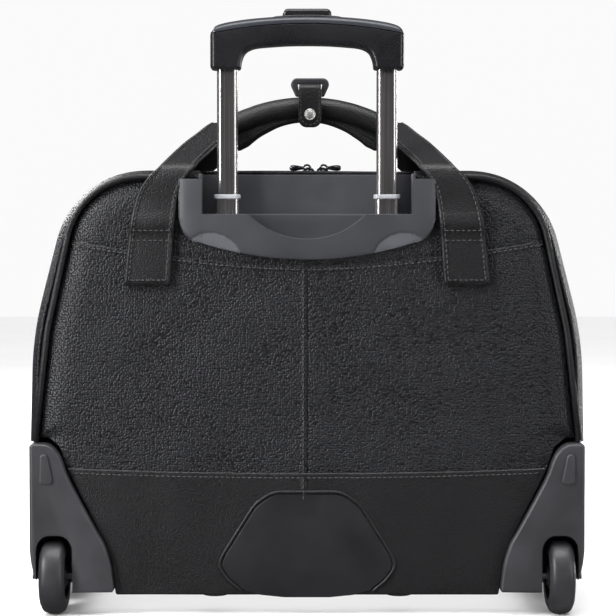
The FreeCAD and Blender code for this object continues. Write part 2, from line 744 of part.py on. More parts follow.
def carry_handle(name, face):
    """Two straps sewn to a panel, two strap arms that lean in, and the padded roll. face
    is -1 for the handle on the rear panel and 1 for the one on the front."""
    start = "-(shell_back + strap_thick)" if face < 0 else "shell_back"
    anchors = []
    arms = []
    for side, sign in SIDES:
        outline = [(sign * x, z) for x, z in ANCHOR]
        anchors.append(prism(f"{name}_anchor_{side}", "XZ", outline, start, "strap_thick"))
        slant = [(sign * x, run) for x, run in
                 [(121, 1.5), (94, 1.5), (72, 42), (52, "strap_run"), (76, "strap_run"),
                  (101, 42)]]
        arm = prism(f"{name}_arm_{side}", "XY", slant, "-strap_thick / 2", "strap_thick")
        arm.Placement.Rotation = Rotation(Vector(1, 0, 0), value("strap_slope"))
        if face > 0:
            arm.Placement.Rotation = Rotation(Vector(1, 0, 0), 180 - value("strap_slope"))
        arms.append(place(arm, 0, f"{face} * hinge_back", "hinge_height"))
    node(f"{name}_strap_anchors", group(f"{name}_strap_anchors", anchors))
    node(f"{name}_handle_straps", group(f"{name}_handle_straps", arms))
    roll = doc.addObject("Part::Torus", f"{name}_handle_roll")
    span = 2 * math.degrees(math.asin(value("roll_half / roll_bend")))
    bind(roll, Radius1="roll_bend", Radius2="roll_radius",
         Angle3="2 * asin(roll_half / roll_bend)")
    upright = Rotation(Vector(1, 0, 0), 90)
    roll.Placement.Rotation = upright.multiply(Rotation(Vector(0, 0, 1), 90 - span / 2))
    place(roll, 0, f"{face} * roll_back", "roll_crown - roll_bend")
    node(f"{name}_handle_roll", roll)


def keeper():
    """The leather keeper on the rear handle: sleeve, ring, snap flap and snap cap."""
    left = "keeper_left"
    crown = "roll_crown"
    outside = rod("keeper_outside", "X", left, "-roll_back", crown,
                  "roll_radius + 0.6 + keeper_skin", "keeper_width")
    inside = rod("keeper_inside", "X", f"{left} - 1", "-roll_back", crown,
                 "roll_radius + 0.6", "keeper_width + 2")
    node("keeper_wrap", cut("keeper_wrap", outside, inside))
    outer, inner = "ring_half", "(ring_half - ring_bar)"
    high, under = "ring_top", "ring_top - ring_bar"
    ring = [(f"keeper_middle - {outer}", "ring_foot"), (f"keeper_middle - {inner}", "ring_foot"),
            (f"keeper_middle - {inner}", under), (f"keeper_middle + {inner}", under),
            (f"keeper_middle + {inner}", "ring_foot"),
            (f"keeper_middle + {outer}", "ring_foot"),
            (f"keeper_middle + {outer}", high), (f"keeper_middle - {outer}", high)]
    node("keeper_ring", prism("keeper_ring", "XZ", ring, "-roll_back - ring_bar / 2", "ring_bar",
                              [(4, [ring[2], ring[3]]), (8, [ring[6], ring[7]])]))
    right = f"{left} + keeper_width"
    flap = [(left, "flap_tip"), (right, "flap_tip"), (right, "flap_top"), (left, "flap_top")]
    node("keeper_flap", prism("keeper_flap", "XZ", flap, "-flap_back", "keeper_skin",
                              [(7, [flap[0], flap[1]])]))
    node("snap_cap", rod("snap_cap", "Y", "keeper_middle", "-flap_back - 2", "flap_tip + 10.5",
                         "snap_radius", 2))


# ---------------------------------------------------------------- main zipper

def zipper_sliders():
    """The two sliders of the main zipper, side by side at the middle, and their pulls."""
    for side, sign, middle in (("left", -1, 1), ("right", 1, 12.5)):
        node(f"zip_slider_{side}",
             block(f"zip_slider_{side}", f"{middle} - slider_long / 2", "-slider_wide / 2",
                   "slider_low", "slider_long", "slider_wide", "slider_high"))
        start = f"{middle} + 2" if sign > 0 else f"{middle} - 2 - pull_long"
        node(f"zip_pull_{side}",
             block(f"zip_pull_{side}", start, "-pull_wide / 2",
                   "slider_low + slider_high + 0.4", "pull_long", "pull_wide", "pull_thick"))


case_gussets()
case_base()
case_panels()
pipings()
stiffeners()
front_pocket()
feet()
wheels()
kick_plate()
trolley_mouth()
poles()
grip()
carry_handle("rear", -1)
carry_handle("front", 1)
keeper()
zipper_sliders()
doc.recompute()

for thing in doc.Objects:
    if "Invalid" in thing.State or "Error" in thing.State:
        raise SystemExit(f"{thing.Label} failed: {thing.State}")
for name, thing in nodes.items():
    if thing.Shape.isNull() or not thing.Shape.isValid() or not thing.Shape.Solids:
        raise SystemExit(f"{name} has no valid solid")

os.makedirs("parts", exist_ok=True)
for name, thing in nodes.items():
    thing.Shape.exportStep(f"parts/{name}.step")
print(len(nodes), "nodes written")
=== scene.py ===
import math
from contextlib import contextmanager

import bmesh
import bpy
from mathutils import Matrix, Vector, kdtree, noise
from mathutils.bvhtree import BVHTree


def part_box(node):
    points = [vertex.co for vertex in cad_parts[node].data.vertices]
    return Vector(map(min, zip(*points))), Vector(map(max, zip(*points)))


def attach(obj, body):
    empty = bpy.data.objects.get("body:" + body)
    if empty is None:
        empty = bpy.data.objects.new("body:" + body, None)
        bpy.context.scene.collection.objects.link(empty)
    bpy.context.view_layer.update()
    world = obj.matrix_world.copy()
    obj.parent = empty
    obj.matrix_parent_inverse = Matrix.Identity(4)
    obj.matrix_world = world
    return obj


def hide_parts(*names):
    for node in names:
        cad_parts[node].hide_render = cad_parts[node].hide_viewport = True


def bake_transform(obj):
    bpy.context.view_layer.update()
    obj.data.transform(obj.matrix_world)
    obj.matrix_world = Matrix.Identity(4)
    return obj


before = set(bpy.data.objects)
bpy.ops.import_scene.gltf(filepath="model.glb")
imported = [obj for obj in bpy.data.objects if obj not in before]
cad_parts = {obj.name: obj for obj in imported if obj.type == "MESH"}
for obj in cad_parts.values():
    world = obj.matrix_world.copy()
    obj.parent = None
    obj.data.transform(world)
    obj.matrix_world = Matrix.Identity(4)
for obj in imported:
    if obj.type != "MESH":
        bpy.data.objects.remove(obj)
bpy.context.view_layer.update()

# ------------------------------------------------------------------ sizes, in metres
# The case seen from behind: (half width, height) corners and the radii that round them.
CASE_CORNERS = [(0.221, None), (0.2165, 0.222), (0.184, 0.351)]
CASE_RADII = (0.25, 0.07)
PANEL_CORNERS = [(0.214, None), (0.2045, 0.2255), (0.1775, 0.346)]
PANEL_RADII = (0.20, 0.058)
SHELL_BACK = -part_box("back_panel")[0][1]
SEAM_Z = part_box("back_panel")[0][2]
GUARD_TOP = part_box("wheel_housing_right")[1][2]
GUARD_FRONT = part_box("wheel_housing_right")[1][1]
TRAY_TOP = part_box("base_tray")[1][2]
CASE_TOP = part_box("rear_gusset")[1][2]
CUP_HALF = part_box("trolley_well")[1][0]
CUP_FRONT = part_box("trolley_well")[1][1]
BEZEL_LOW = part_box("trolley_bezel")[0][2]
BEZEL_BEND = 0.274
ROLL_BEND = 0.1337
ROLL_CROWN = 0.4079
ROLL_HALF = 0.0620
ROLL_RADIUS = 0.0089
ROLL_BACK = 0.011


# ------------------------------------------------------------------ materials

class Nodes:
    """A short way to build a procedural material."""

    def __init__(self, name, color, roughness, metallic=0.0):
        self.material = bpy.data.materials.new(name)
        self.material.use_nodes = True
        self.tree = self.material.node_tree
        self.shader = self.tree.nodes["Principled BSDF"]
        self.shader.inputs["Base Color"].default_value = (*color, 1)
        self.shader.inputs["Roughness"].default_value = roughness
        self.shader.inputs["Metallic"].default_value = metallic
        self.place = self.add("ShaderNodeTexCoord").outputs["Object"]
        self.bumps = []

    def add(self, kind, **settings):
        made = self.tree.nodes.new(kind)
        for key, value in settings.items():
            if hasattr(made, key):
                setattr(made, key, value)
            else:
                made.inputs[key.replace("_", " ")].default_value = value
        return made

    def link(self, start, end):
        self.tree.links.new(start, end)

    def stretched(self, scale):
        mapping = self.add("ShaderNodeMapping")
        mapping.inputs["Scale"].default_value = scale
        self.link(self.place, mapping.inputs["Vector"])
        return mapping.outputs["Vector"]

    def noise(self, scale, detail=3.0, place=None, roughness=0.55):
        made = self.add("ShaderNodeTexNoise", Scale=scale, Detail=detail, Roughness=roughness)
        self.link(place or self.place, made.inputs["Vector"])
        return made.outputs["Fac"]

    def ramp(self, value, low, high, first=0.0, last=1.0):
        made = self.add("ShaderNodeMapRange", interpolation_type="SMOOTHSTEP",
                        From_Min=low, From_Max=high, To_Min=first, To_Max=last)
        self.link(value, made.inputs["Value"])
        return made.outputs["Result"]

    def math(self, operation, first, second):
        made = self.add("ShaderNodeMath", operation=operation)
        for socket, value in zip(made.inputs, (first, second)):
            if isinstance(value, (int, float)):
                socket.default_value = value
            else:
                self.link(value, socket)
        return made.outputs["Value"]

    def colors(self, value, dark, light):
        made = self.add("ShaderNodeMix", data_type="RGBA")
        self.link(value, made.inputs[0])
        made.inputs[6].default_value = (*dark, 1)
        made.inputs[7].default_value = (*light, 1)
        self.link(made.outputs[2], self.shader.inputs["Base Color"])

    def gloss(self, value):
        self.link(value, self.shader.inputs["Roughness"])

    def bump(self, height, strength, distance):
        made = self.add("ShaderNodeBump", Strength=strength, Distance=distance)
        self.link(height, made.inputs["Height"])
        if self.bumps:
            self.link(self.bumps[-1].outputs["Normal"], made.inputs["Normal"])
        self.link(made.outputs["Normal"], self.shader.inputs["Normal"])
        self.bumps.append(made)

    def set(self, **sockets):
        for name, value in sockets.items():
            self.shader.inputs[name.replace("_", " ")].default_value = value


def leather(name, grain, depth, dark, light, gloss, level):
    """Leather with domed pebbles, a given number to the metre, parted by fine creases. Its colour
    is painted light: the light colour on the pebble tops is a painted highlight and the dark
    colour in the creases is painted shade.
    """
    made = Nodes(name, dark, gloss)
    warp = made.add("ShaderNodeTexNoise", Scale=grain * 0.30, Detail=2.0)
    made.link(made.place, warp.inputs["Vector"])
    shift = made.add("ShaderNodeVectorMath", operation="MULTIPLY_ADD")
    shift.inputs[1].default_value = (0.4 / grain,) * 3
    made.link(warp.outputs["Color"], shift.inputs[0])
    made.link(made.place, shift.inputs[2])
    pebble = made.add("ShaderNodeTexVoronoi", feature="F1", Scale=grain, Randomness=0.75)
    made.link(shift.outputs["Vector"], pebble.inputs["Vector"])
    far = made.math("MULTIPLY", pebble.outputs["Distance"], pebble.outputs["Distance"])
    dome = made.ramp(far, 0.0, 0.62, 1.0, 0.0)
    fine = made.noise(grain * 3.0, 3.0)
    crease = made.noise(30.0, 3.0)
    # Painted highlight and shade: the pebble tops take the light colour and the creases between
    # them take the dark one.
    made.colors(dome, dark, light)
    made.gloss(made.ramp(made.math("ADD", dome, crease), 0.4, 1.5, gloss + 0.12, gloss - 0.02))
    made.bump(crease, 0.12, 0.0014)
    made.bump(dome, 1.0, depth)
    made.bump(fine, 0.08, depth * 0.3)
    made.set(Specular_IOR_Level=level)
    return made.material


def plastic(name, dark, light, gloss, grain=1400.0, depth=0.00008):
    """Moulded plastic with a fine spark-eroded texture and faint mottling."""
    made = Nodes(name, dark, gloss)
    spark = made.noise(grain, 2.0)
    cloud = made.noise(24.0, 3.0)
    made.colors(made.ramp(cloud, 0.3, 0.7), dark, light)
    made.gloss(made.ramp(made.math("ADD", spark, cloud), 0.6, 1.4, gloss - 0.06, gloss + 0.08))
    made.bump(spark, 0.5, depth)
    return made.material


def metal(name, dark, light, gloss, brushed=(1.0, 1.0, 1.0), grain=900.0, depth=0.00002):
    """Metal with a drawn or polished grain: brushed stretches the grain along an axis."""
    made = Nodes(name, dark, gloss, 1.0)
    lines = made.noise(grain, 3.0, made.stretched(brushed))
    cloud = made.noise(30.0, 2.0)
    made.colors(made.ramp(made.math("ADD", lines, cloud), 0.7, 1.3), dark, light)
    made.gloss(made.ramp(lines, 0.3, 0.7, gloss * 0.85, gloss * 1.2))
    if depth:
        made.bump(lines, 0.3, depth)
    return made.material


def woven(name, dark, light, threads):
    """A plain weave with a number of threads to the metre."""
    made = Nodes(name, dark, 0.85)
    waves = []
    for axis in ("X", "Z"):
        wave = made.add("ShaderNodeTexWave", bands_direction=axis, Scale=threads / 20,
                        Distortion=0.6, Detail=1.0)
        made.link(made.place, wave.inputs["Vector"])
        waves.append(wave.outputs["Fac"])
    weave = made.math("MULTIPLY", waves[0], waves[1])
    fluff = made.noise(1800.0, 3.0)
    made.colors(made.math("MULTIPLY", weave, made.ramp(fluff, 0.3, 0.7, 0.6, 1.0)), dark, light)
    made.bump(weave, 0.5, 0.0002)
    made.bump(fluff, 0.3, 0.0001)
    made.set(Sheen_Weight=0.3, Sheen_Roughness=0.5)
    return made.material


# Each leather's dark and light colours are painted shade for its creases and a painted highlight
# for its pebble tops.
PEBBLED = leather("pebbled_leather", 540.0, 0.00040, (0.0014, 0.0014, 0.0020),
                  (0.0115, 0.0118, 0.0150), 0.36, 0.47)
SMOOTH = leather("smooth_leather", 760.0, 0.00018, (0.004, 0.004, 0.0045),
                 (0.011, 0.011, 0.0126), 0.36, 0.50)
GUARD = plastic("guard_plastic", (0.027, 0.027, 0.030), (0.036, 0.036, 0.041), 0.40)
SCUFF = plastic("scuff_plastic", (0.009, 0.009, 0.0105), (0.012, 0.012, 0.014), 0.44)
BEZEL = plastic("bezel_plastic", (0.036, 0.037, 0.042), (0.046, 0.047, 0.054), 0.42)
# Painted highlight: a lighter plastic for the bezel's finger hollows, standing in for the light
# they catch.
HOLLOW_HIGHLIGHT = plastic("finger_hollow_highlight", (0.075, 0.078, 0.090), (0.100, 0.104, 0.118), 0.34)
# The cover is lighter than the grip body: partly its own bluish tone, partly a painted highlight
# for the overhead light on the grip's top.
COVER = plastic("cover_plastic", (0.024, 0.026, 0.032), (0.032, 0.034, 0.042), 0.30, 900.0)
GRIP = plastic("grip_plastic", (0.008, 0.008, 0.0095), (0.012, 0.012, 0.014), 0.28, 900.0)
BUTTON = plastic("button_plastic", (0.010, 0.010, 0.011), (0.015, 0.015, 0.017), 0.26, 700.0,
                 0.00003)
COLLAR = plastic("collar_plastic", (0.36, 0.37, 0.39), (0.44, 0.45, 0.47), 0.38)
BOARD = plastic("board", (0.05, 0.05, 0.05), (0.07, 0.07, 0.07), 0.7, 300.0, 0.0002)
RUBBER = plastic("foot_rubber", (0.012, 0.012, 0.012), (0.02, 0.02, 0.02), 0.62)
TYRE = plastic("tyre_rubber", (0.016, 0.016, 0.018), (0.030, 0.030, 0.033), 0.40, 500.0,
               0.0001)
GUNMETAL = metal("pole_metal", (0.60, 0.575, 0.575), (0.70, 0.675, 0.675), 0.24,
                 (3.0, 3.0, 0.02), 300.0, 0)
SATIN = metal("hub_metal", (0.20, 0.205, 0.215), (0.28, 0.285, 0.295), 0.34)
COIL = plastic("zipper_coil", (0.012, 0.012, 0.014), (0.020, 0.020, 0.023), 0.40, 900.0)
SNAP = metal("snap_metal", (0.74, 0.73, 0.71), (0.86, 0.85, 0.83), 0.46)
STEEL = metal("zinc_steel", (0.42, 0.43, 0.45), (0.56, 0.57, 0.59), 0.35)
NICKEL = metal("black_nickel", (0.10, 0.10, 0.11), (0.20, 0.20, 0.22), 0.14)
TAPE = woven("zipper_tape_weave", (0.008, 0.008, 0.009), (0.025, 0.025, 0.027), 1600)
LINING = woven("lining_weave", (0.06, 0.06, 0.07), (0.13, 0.13, 0.14), 1100)
THREAD = woven("thread", (0.030, 0.030, 0.033), (0.070, 0.070, 0.075), 4000)


# ------------------------------------------------------------------ mesh helpers

def setup(thing, **settings):
    for key, value in settings.items():
        setattr(thing, key, value)
    return thing


def shown(name, data):
    """An object of the scene that holds a mesh, a lamp or a camera."""
    thing = bpy.data.objects.new(name, data)
    bpy.context.scene.collection.objects.link(thing)
    return thing


def finish_piece(piece, body, material=None, replaces=(), smooth=True):
    """Give a piece its material and its body, and hide the nodes it stands for."""
    if material:
        piece.data.materials.clear()
        piece.data.materials.append(material)
    if smooth:
        for face in piece.data.polygons:
            face.use_smooth = True
    if replaces:
        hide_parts(*replaces)
    if body:
        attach(piece, body)
    return piece


def new_piece(name, points, faces):
    mesh = bpy.data.meshes.new(name)
    mesh.from_pydata([tuple(point) for point in points], [], faces)
    mesh.update()
    return shown(name, mesh)


def from_bmesh(name, shape):
    mesh = bpy.data.meshes.new(name)
    shape.to_mesh(mesh)
    shape.free()
    return shown(name, mesh)


@contextmanager
def mesh_of(piece):
    """A piece's mesh, open for editing."""
    shape = bmesh.new()
    shape.from_mesh(piece.data)
    yield shape
    shape.to_mesh(piece.data)
    shape.free()


def outward(piece, weld=False):
    """Turn a piece's faces outwards, after welding its doubled points if asked."""
    with mesh_of(piece) as shape:
        if weld:
            bmesh.ops.remove_doubles(shape, verts=shape.verts, dist=1e-6)
        bmesh.ops.recalc_face_normals(shape, faces=shape.faces)
    return piece


def bake(piece):
    """Replace the mesh by what its modifiers make of it."""
    depsgraph = bpy.context.evaluated_depsgraph_get()
    mesh = bpy.data.meshes.new_from_object(piece.evaluated_get(depsgraph))
    piece.modifiers.clear()
    piece.data = mesh
    return piece


def modify(piece, kind, **settings):
    setup(piece.modifiers.new(kind, kind), **settings)


def bevel(piece, width, segments, degrees, even=False, **settings):
    """Round the edges sharper than an angle, and even out the shading if asked."""
    modify(piece, "BEVEL", width=width, segments=segments, limit_method="ANGLE",
           angle_limit=math.radians(degrees), **settings)
    if even:
        modify(piece, "WEIGHTED_NORMAL", keep_sharp=True)
    return bake(piece)


def refined(node, body, material, width, segments=3):
    """A CAD sub-part's shape with its flat faces made whole and its edges rounded."""
    shape = bmesh.new()
    shape.from_mesh(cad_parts[node].data)
    bmesh.ops.remove_doubles(shape, verts=shape.verts, dist=1e-6)
    bmesh.ops.dissolve_limit(shape, angle_limit=math.radians(1.0), verts=shape.verts,
                             edges=shape.edges)
    piece = bevel(from_bmesh(f"{node}_shape", shape), width, segments, 35, True)
    return finish_piece(piece, body, material, (node,))


def carve(piece, low, high):
    """Cut a box out of a closed piece."""
    shape = bmesh.new()
    bmesh.ops.create_cube(shape, size=1.0)
    for corner in shape.verts:
        corner.co = Vector(high[i] if corner.co[i] > 0 else low[i] for i in range(3))
    return subtract(piece, from_bmesh("carving", shape))


def corner_arc(before, corner, after, radius, parts, share=1.0):
    """An arc that rounds a corner and takes up at most a share of either side."""
    back, ahead = before - corner, after - corner
    half = back.angle(ahead) / 2
    reach = min(radius / math.tan(half), share * back.length, share * ahead.length)
    radius = reach * math.tan(half)
    back.normalize()
    ahead.normalize()
    centre = corner + (back + ahead).normalized() * (radius / math.sin(half))
    start, end = corner + back * reach - centre, corner + ahead * reach - centre
    return [centre + radius * start.slerp(end, part / parts) for part in range(parts + 1)]


def rounded_outline(corners):
    """A closed outline from (x, z, radius) corners, each rounded by its radius."""
    line, spots = [], [Vector(corner[:2]) for corner in corners]
    for index, (_, _, radius) in enumerate(corners):
        around = spots[index - 1], spots[index], spots[(index + 1) % len(spots)]
        line += corner_arc(*around, radius, 8, 0.48) if radius else [spots[index]]
    return line


def mirrored(half):
    """An outline's right half, given as tuples that start with x, and its left half."""
    return half + [(-spot[0], *spot[1:]) for spot in reversed(half)]


def rounded(corners, radii, step):
    """Points along an open line through corners, its inner corners rounded, step apart."""
    corners = [Vector(corner) for corner in corners]
    path = [corners[0]]
    for index, radius in enumerate(radii, start=1):
        path += corner_arc(*corners[index - 1:index + 2], radius, 12)
    return resampled(path + [corners[-1]], step)


def resampled(path, step):
    """The same line with points an even distance apart, near step."""
    lengths = [(path[i + 1] - path[i]).length for i in range(len(path) - 1)]
    total = sum(lengths)
    count = max(1, round(total / step))
    made, index, passed = [], 0, 0.0
    for number in range(count + 1):
        want = total * number / count
        while index < len(lengths) - 1 and passed + lengths[index] < want:
            passed += lengths[index]
            index += 1
        share = (want - passed) / lengths[index] if lengths[index] else 0
        made.append(path[index].lerp(path[index + 1], min(1.0, max(0.0, share))))
    return made


def smooth_path(points, parts=8):
    """Points on a smooth curve through a list of given ones (Catmull-Rom)."""
    points = [Vector(point) for point in points]
    ends = [points[0] * 2 - points[1], *points, points[-1] * 2 - points[-2]]
    made = []
    for index in range(1, len(ends) - 2):
        before, start, end, after = ends[index - 1:index + 3]
        for part in range(parts):
            t = part / parts
            made.append(0.5 * (2 * start + (end - before) * t
                               + (2 * before - 5 * start + 4 * end - after) * t ** 2
                               + (3 * start - before - 3 * end + after) * t ** 3))
    made.append(points[-1])
    return made


def outline(corners, radii, inset, low, step, half=False):
    """The case's or the panel's outline from one foot over the top to the other."""
    (foot, _), (waist, waist_z), (shoulder, top) = corners
    line = [(foot - inset, low), (waist - inset, waist_z),
            (shoulder - inset * 0.8, top - inset), (0.0, top - inset)]
    right = rounded(line, (radii[0] - inset, radii[1] - inset), step)
    if half:
        return right
    return right + [Vector((-point.x, point.y)) for point in reversed(right[:-1])]


def grid_faces(rows, columns, closed=False):
    faces = []
    width = columns if closed else columns - 1
    for row in range(rows - 1):
        for column in range(width):
            right = (column + 1) % columns
            faces.append((row * columns + column, row * columns + right,
                          (row + 1) * columns + right, (row + 1) * columns + column))
    return faces


def bar_faces(rows, sides):
    """The faces of a bar: rows rings of sides points each, and both ends."""
    count = rows * sides
    return grid_faces(rows, sides, True) + [tuple(reversed(range(sides))),
                                            tuple(range(count - sides, count))]


def bar(name, points, sides, weld=False):
    """A closed bar from the points of its rings."""
    return outward(new_piece(name, points, bar_faces(len(points) // sides, sides)), weld)


def tube(name, path, radius, sides=12, caps=True):
    """A round bar along a path of points."""
    points, count = [], len(path)
    across = None
    for index, spot in enumerate(path):
        ahead = (path[min(index + 1, count - 1)] - path[max(index - 1, 0)]).normalized()
        if across is None:
            across = ahead.orthogonal().normalized()
        across = (across - ahead * across.dot(ahead)).normalized()
        other = ahead.cross(across)
        for side in range(sides):
            turn = math.tau * side / sides
            points.append(spot + radius * (across * math.cos(turn) + other * math.sin(turn)))
    faces = bar_faces(count, sides) if caps else grid_faces(count, sides, True)
    return new_piece(name, points, faces)


def subtract(piece, tool):
    modify(piece, "BOOLEAN", operation="DIFFERENCE", solver="EXACT", object=tool)
    bake(piece)
    bpy.data.objects.remove(tool)
    return piece


def plate(name, corners, near, far, width, segments=4, clamp=True):
    """A flat plate with an outline in X and Z, between two depths, its edges rounded."""
    shape = bmesh.new()
    back = [shape.verts.new((x, near, z)) for x, z in corners]
    front = [shape.verts.new((x, far, z)) for x, z in corners]
    shape.faces.new(back)
    shape.faces.new(list(reversed(front)))
    count = len(corners)
    for index in range(count):
        follow = (index + 1) % count
        shape.faces.new((back[follow], back[index], front[index], front[follow]))
    bmesh.ops.recalc_face_normals(shape, faces=shape.faces)
    return bevel(from_bmesh(name, shape), width, segments, 60, True,
                 use_clamp_overlap=clamp)


def lathe(name, centre, axis, profile, sides=72, ring=False):
    """A turned piece: profile holds (radius, distance along the axis) points."""
    points = []
    for radius, along in profile:
        for side in range(sides):
            turn = math.tau * side / sides
            flat = (radius * math.cos(turn), radius * math.sin(turn))
            offset = {"X": (along, *flat), "Y": (flat[0], along, flat[1]),
                      "Z": (*flat, along)}[axis]
            points.append(centre + Vector(offset))
    if not ring:
        return bar(name, points, sides)
    faces = grid_faces(len(profile), sides, True)
    last = (len(profile) - 1) * sides
    faces += [(last + side, last + (side + 1) % sides, (side + 1) % sides, side)
              for side in range(sides)]
    return outward(new_piece(name, points, faces))


def bevelled(turned):
    """A turned piece with its sharp edges broken."""
    return bevel(turned, 0.0002, 2, 40)


def both_ways(half):
    """A turned profile from the (radius, distance) points of its first half."""
    return half + [(radius, -along) for radius, along in reversed(half)]


def turned_over(half):
    """A line from x = 0 outwards, led on over x = 0 to the other side."""
    return half + [Vector((-spot.x, spot.y)) for spot in reversed(half[:-1])]


def joined(name, pieces):
    """Several loose meshes as one piece."""
    shape = bmesh.new()
    for piece in pieces:
        shape.from_mesh(piece.data)
        bpy.data.objects.remove(piece)
    return from_bmesh(name, shape)


def on_surface(target, x, z, rear=True, lift=0.0):
    """The point of a piece's rear or front face at a place, lifted off it."""
    toward = Vector((0, 1 if rear else -1, 0))
    hit = target.ray_cast(Vector((x, -0.3 if rear else 0.3, z)), toward)
    return hit[0] - toward * lift if hit[0] else None


def centre_of(node):
    return Vector([(low + high) / 2 for low, high in zip(*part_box(node))])


def tree_of(piece):
    return BVHTree.FromPolygons([v.co.copy() for v in piece.data.vertices],
                                [tuple(f.vertices) for f in piece.data.polygons])


def stitches(name, lines, body, length=0.0030, gap=0.0013, radius=0.00042):
    """Rows of thread along lines of 3-D points: each stitch a short, tapered bead."""
    points, faces = [], []
    sides, rings = 6, (0.0, 0.18, 0.5, 0.82, 1.0)
    for line in lines:
        line = resampled([Vector(spot) for spot in line], (length + gap) / 2)
        for index in range(0, len(line) - 1, 2):
            start, end = line[index], line[min(index + 1, len(line) - 1)]
            ahead = end - start
            if ahead.length < 1e-6:
                continue
            end = start + ahead.normalized() * length
            across = ahead.orthogonal().normalized()
            other = ahead.normalized().cross(across)
            first = len(points)
            for ring in rings:
                thick = radius * math.sqrt(max(0.04, 1 - (2 * ring - 1) ** 4))
                for side in range(sides):
                    turn = math.tau * side / sides
                    points.append(start.lerp(end, ring) + thick * (
                        across * math.cos(turn) + other * math.sin(turn)))
            faces += [tuple(first + corner for corner in face)
                      for face in bar_faces(len(rings), sides)]
    return finish_piece(new_piece(name, points, faces), body, THREAD)


# ------------------------------------------------------------------ padded leather

def inflate(piece, pinned, pressure, cap, frames=20):
    """Swell a sheet by cloth simulation, held where pinned says, and keep the result. No
    point moves further than cap."""
    rest = [vertex.co.copy() for vertex in piece.data.vertices]
    group = piece.vertex_groups.new(name="pinned")
    group.add(pinned, 1.0, "REPLACE")
    cloth = piece.modifiers.new("Cloth", "CLOTH")
    setup(cloth.settings, quality=6, mass=0.25, tension_stiffness=12,
          compression_stiffness=12, shear_stiffness=6, bending_stiffness=0.6,
          vertex_group_mass="pinned", use_pressure=True, uniform_pressure_force=pressure)
    cloth.settings.effector_weights.gravity = 0
    cloth.collision_settings.use_collision = False
    setup(cloth.point_cache, frame_start=1, frame_end=frames)
    scene = bpy.context.scene
    for number in range(1, frames + 1):
        scene.frame_set(number)
    depsgraph = bpy.context.evaluated_depsgraph_get()
    swollen = [v.co.copy() for v in piece.evaluated_get(depsgraph).data.vertices]
    piece.modifiers.clear()
    piece.vertex_groups.clear()
    scene.frame_set(1)
    for vertex, start, end in zip(piece.data.vertices, rest, swollen):
        move = end - start
        if move.length > cap:
            move *= cap / move.length
        vertex.co = start + move


# How far a padded panel falls away at its rim, and over what width.
ROLL_DROP, ROLL_REACH = 0.0062, 0.024


def panel_rows(low, corners, radii, step, foot=()):
    """(half width, height) of a panel's rows, from its foot to where its top is flat."""
    upper = outline(corners, radii, 0.0, foot[-1][1] if foot else low, step, half=True)
    flat = upper[-1].y
    rows = [Vector(spot) for spot in resampled([Vector(p) for p in foot], step)] if foot else []
    rows += [spot for spot in upper if spot.y < flat - 1e-6 or spot.x == upper[-1].x]
    rows = [spot for spot in rows if spot.x > 0.01]
    start = next(spot for spot in upper if spot.y >= flat - 1e-6)
    return rows + [start]


def rim_of(border):
    """A finder of the nearest of a border's points, all (x, z)."""
    rim = kdtree.KDTree(len(border))
    for number, (x, z) in enumerate(border):
        rim.insert((x, 0, z), number)
    rim.balance()
    return lambda x, z: rim.find((x, 0, z))[2]


def sheet_panel(name, rows, depth, columns, seams, face, pressure, cap, warp=None,
                hole=None):
    """A padded leather panel: a grid of rows across the case, held at its rim and along
    its seams and swollen between them. face is -1 for the rear and 1 for the front."""
    edge = [spot for spot in rows if spot.y > GUARD_TOP]
    edge = resampled(edge, 0.0015) if len(edge) > 1 else []
    edge += [Vector((edge[-1].x * part / 60, edge[-1].y)) for part in range(60)] if edge else []
    to_rim = rim_of([(side * spot.x, spot.y) for spot in edge for side in (1, -1)])
    spots, pinned = [], []
    for row, spot in enumerate(rows):
        for column in range(columns + 1):
            u = 2 * column / columns - 1
            x, z = u * spot.x, spot.y
            near = min((seam(x, z) for seam in seams), default=1.0)
            dip = 0.0007 * math.exp(-(near / 0.0020) ** 2)
            border = row in (0, len(rows) - 1) or column in (0, columns)
            if border or near < 0.0016:
                pinned.append(len(spots))
            if edge:
                dip += ROLL_DROP * (1 - min(1.0, to_rim(x, z) / ROLL_REACH)) ** 2.2
            sway = 0.0009 * noise.noise(Vector((x * 20, z * 20, face * 7.0)))
            lift = warp(x, z) if warp else 0.0
            spots.append(Vector((x, face * (depth + sway - dip), z + lift)))
    faces = grid_faces(len(rows), columns + 1)
    if face > 0:
        faces = [tuple(reversed(corner)) for corner in faces]
    piece = new_piece(name, spots, faces)
    inflate(piece, pinned, pressure, cap)
    modify(piece, "SUBSURF", levels=1, render_levels=1)
    bake(piece)
    if hole:
        with mesh_of(piece) as shape:
            gone = [part for part in shape.faces if hole(part.calc_center_median())]
            bmesh.ops.delete(shape, geom=gone, context="FACES")
    modify(piece, "SOLIDIFY", thickness=0.003, offset=-1)
    return bake(piece)


def face_rear(shape):
    """Turn an open sheet's faces to the rear."""
    bmesh.ops.recalc_face_normals(shape, faces=shape.faces)
    if sum(face.normal.y for face in shape.faces) > 0:
        bmesh.ops.reverse_faces(shape, faces=shape.faces)


def fold(name, tree, line, side, material):
    """The folded edge of a leather panel that laps over its neighbour along a seam. line
    holds the seam's (x, z) points and side the direction in which the upper leather lies."""
    section = [(0.0, -0.0006), (0.0, 0.0006), (0.0007, 0.0010), (0.003, 0.0007),
               (0.007, -0.0004)]
    points = []
    for x, z in line:
        for out, lift in section:
            spot = on_surface(tree, x + side[0] * out, z + side[1] * out)
            if not spot:
                return
            points.append(spot + Vector((0, -lift, 0)))
    piece = new_piece(name, points, grid_faces(len(line), len(section)))
    with mesh_of(piece) as shape:
        face_rear(shape)
    modify(piece, "SUBSURF", levels=1, render_levels=1)
    finish_piece(bake(piece), "root", material)


# ------------------------------------------------------------------ rear half

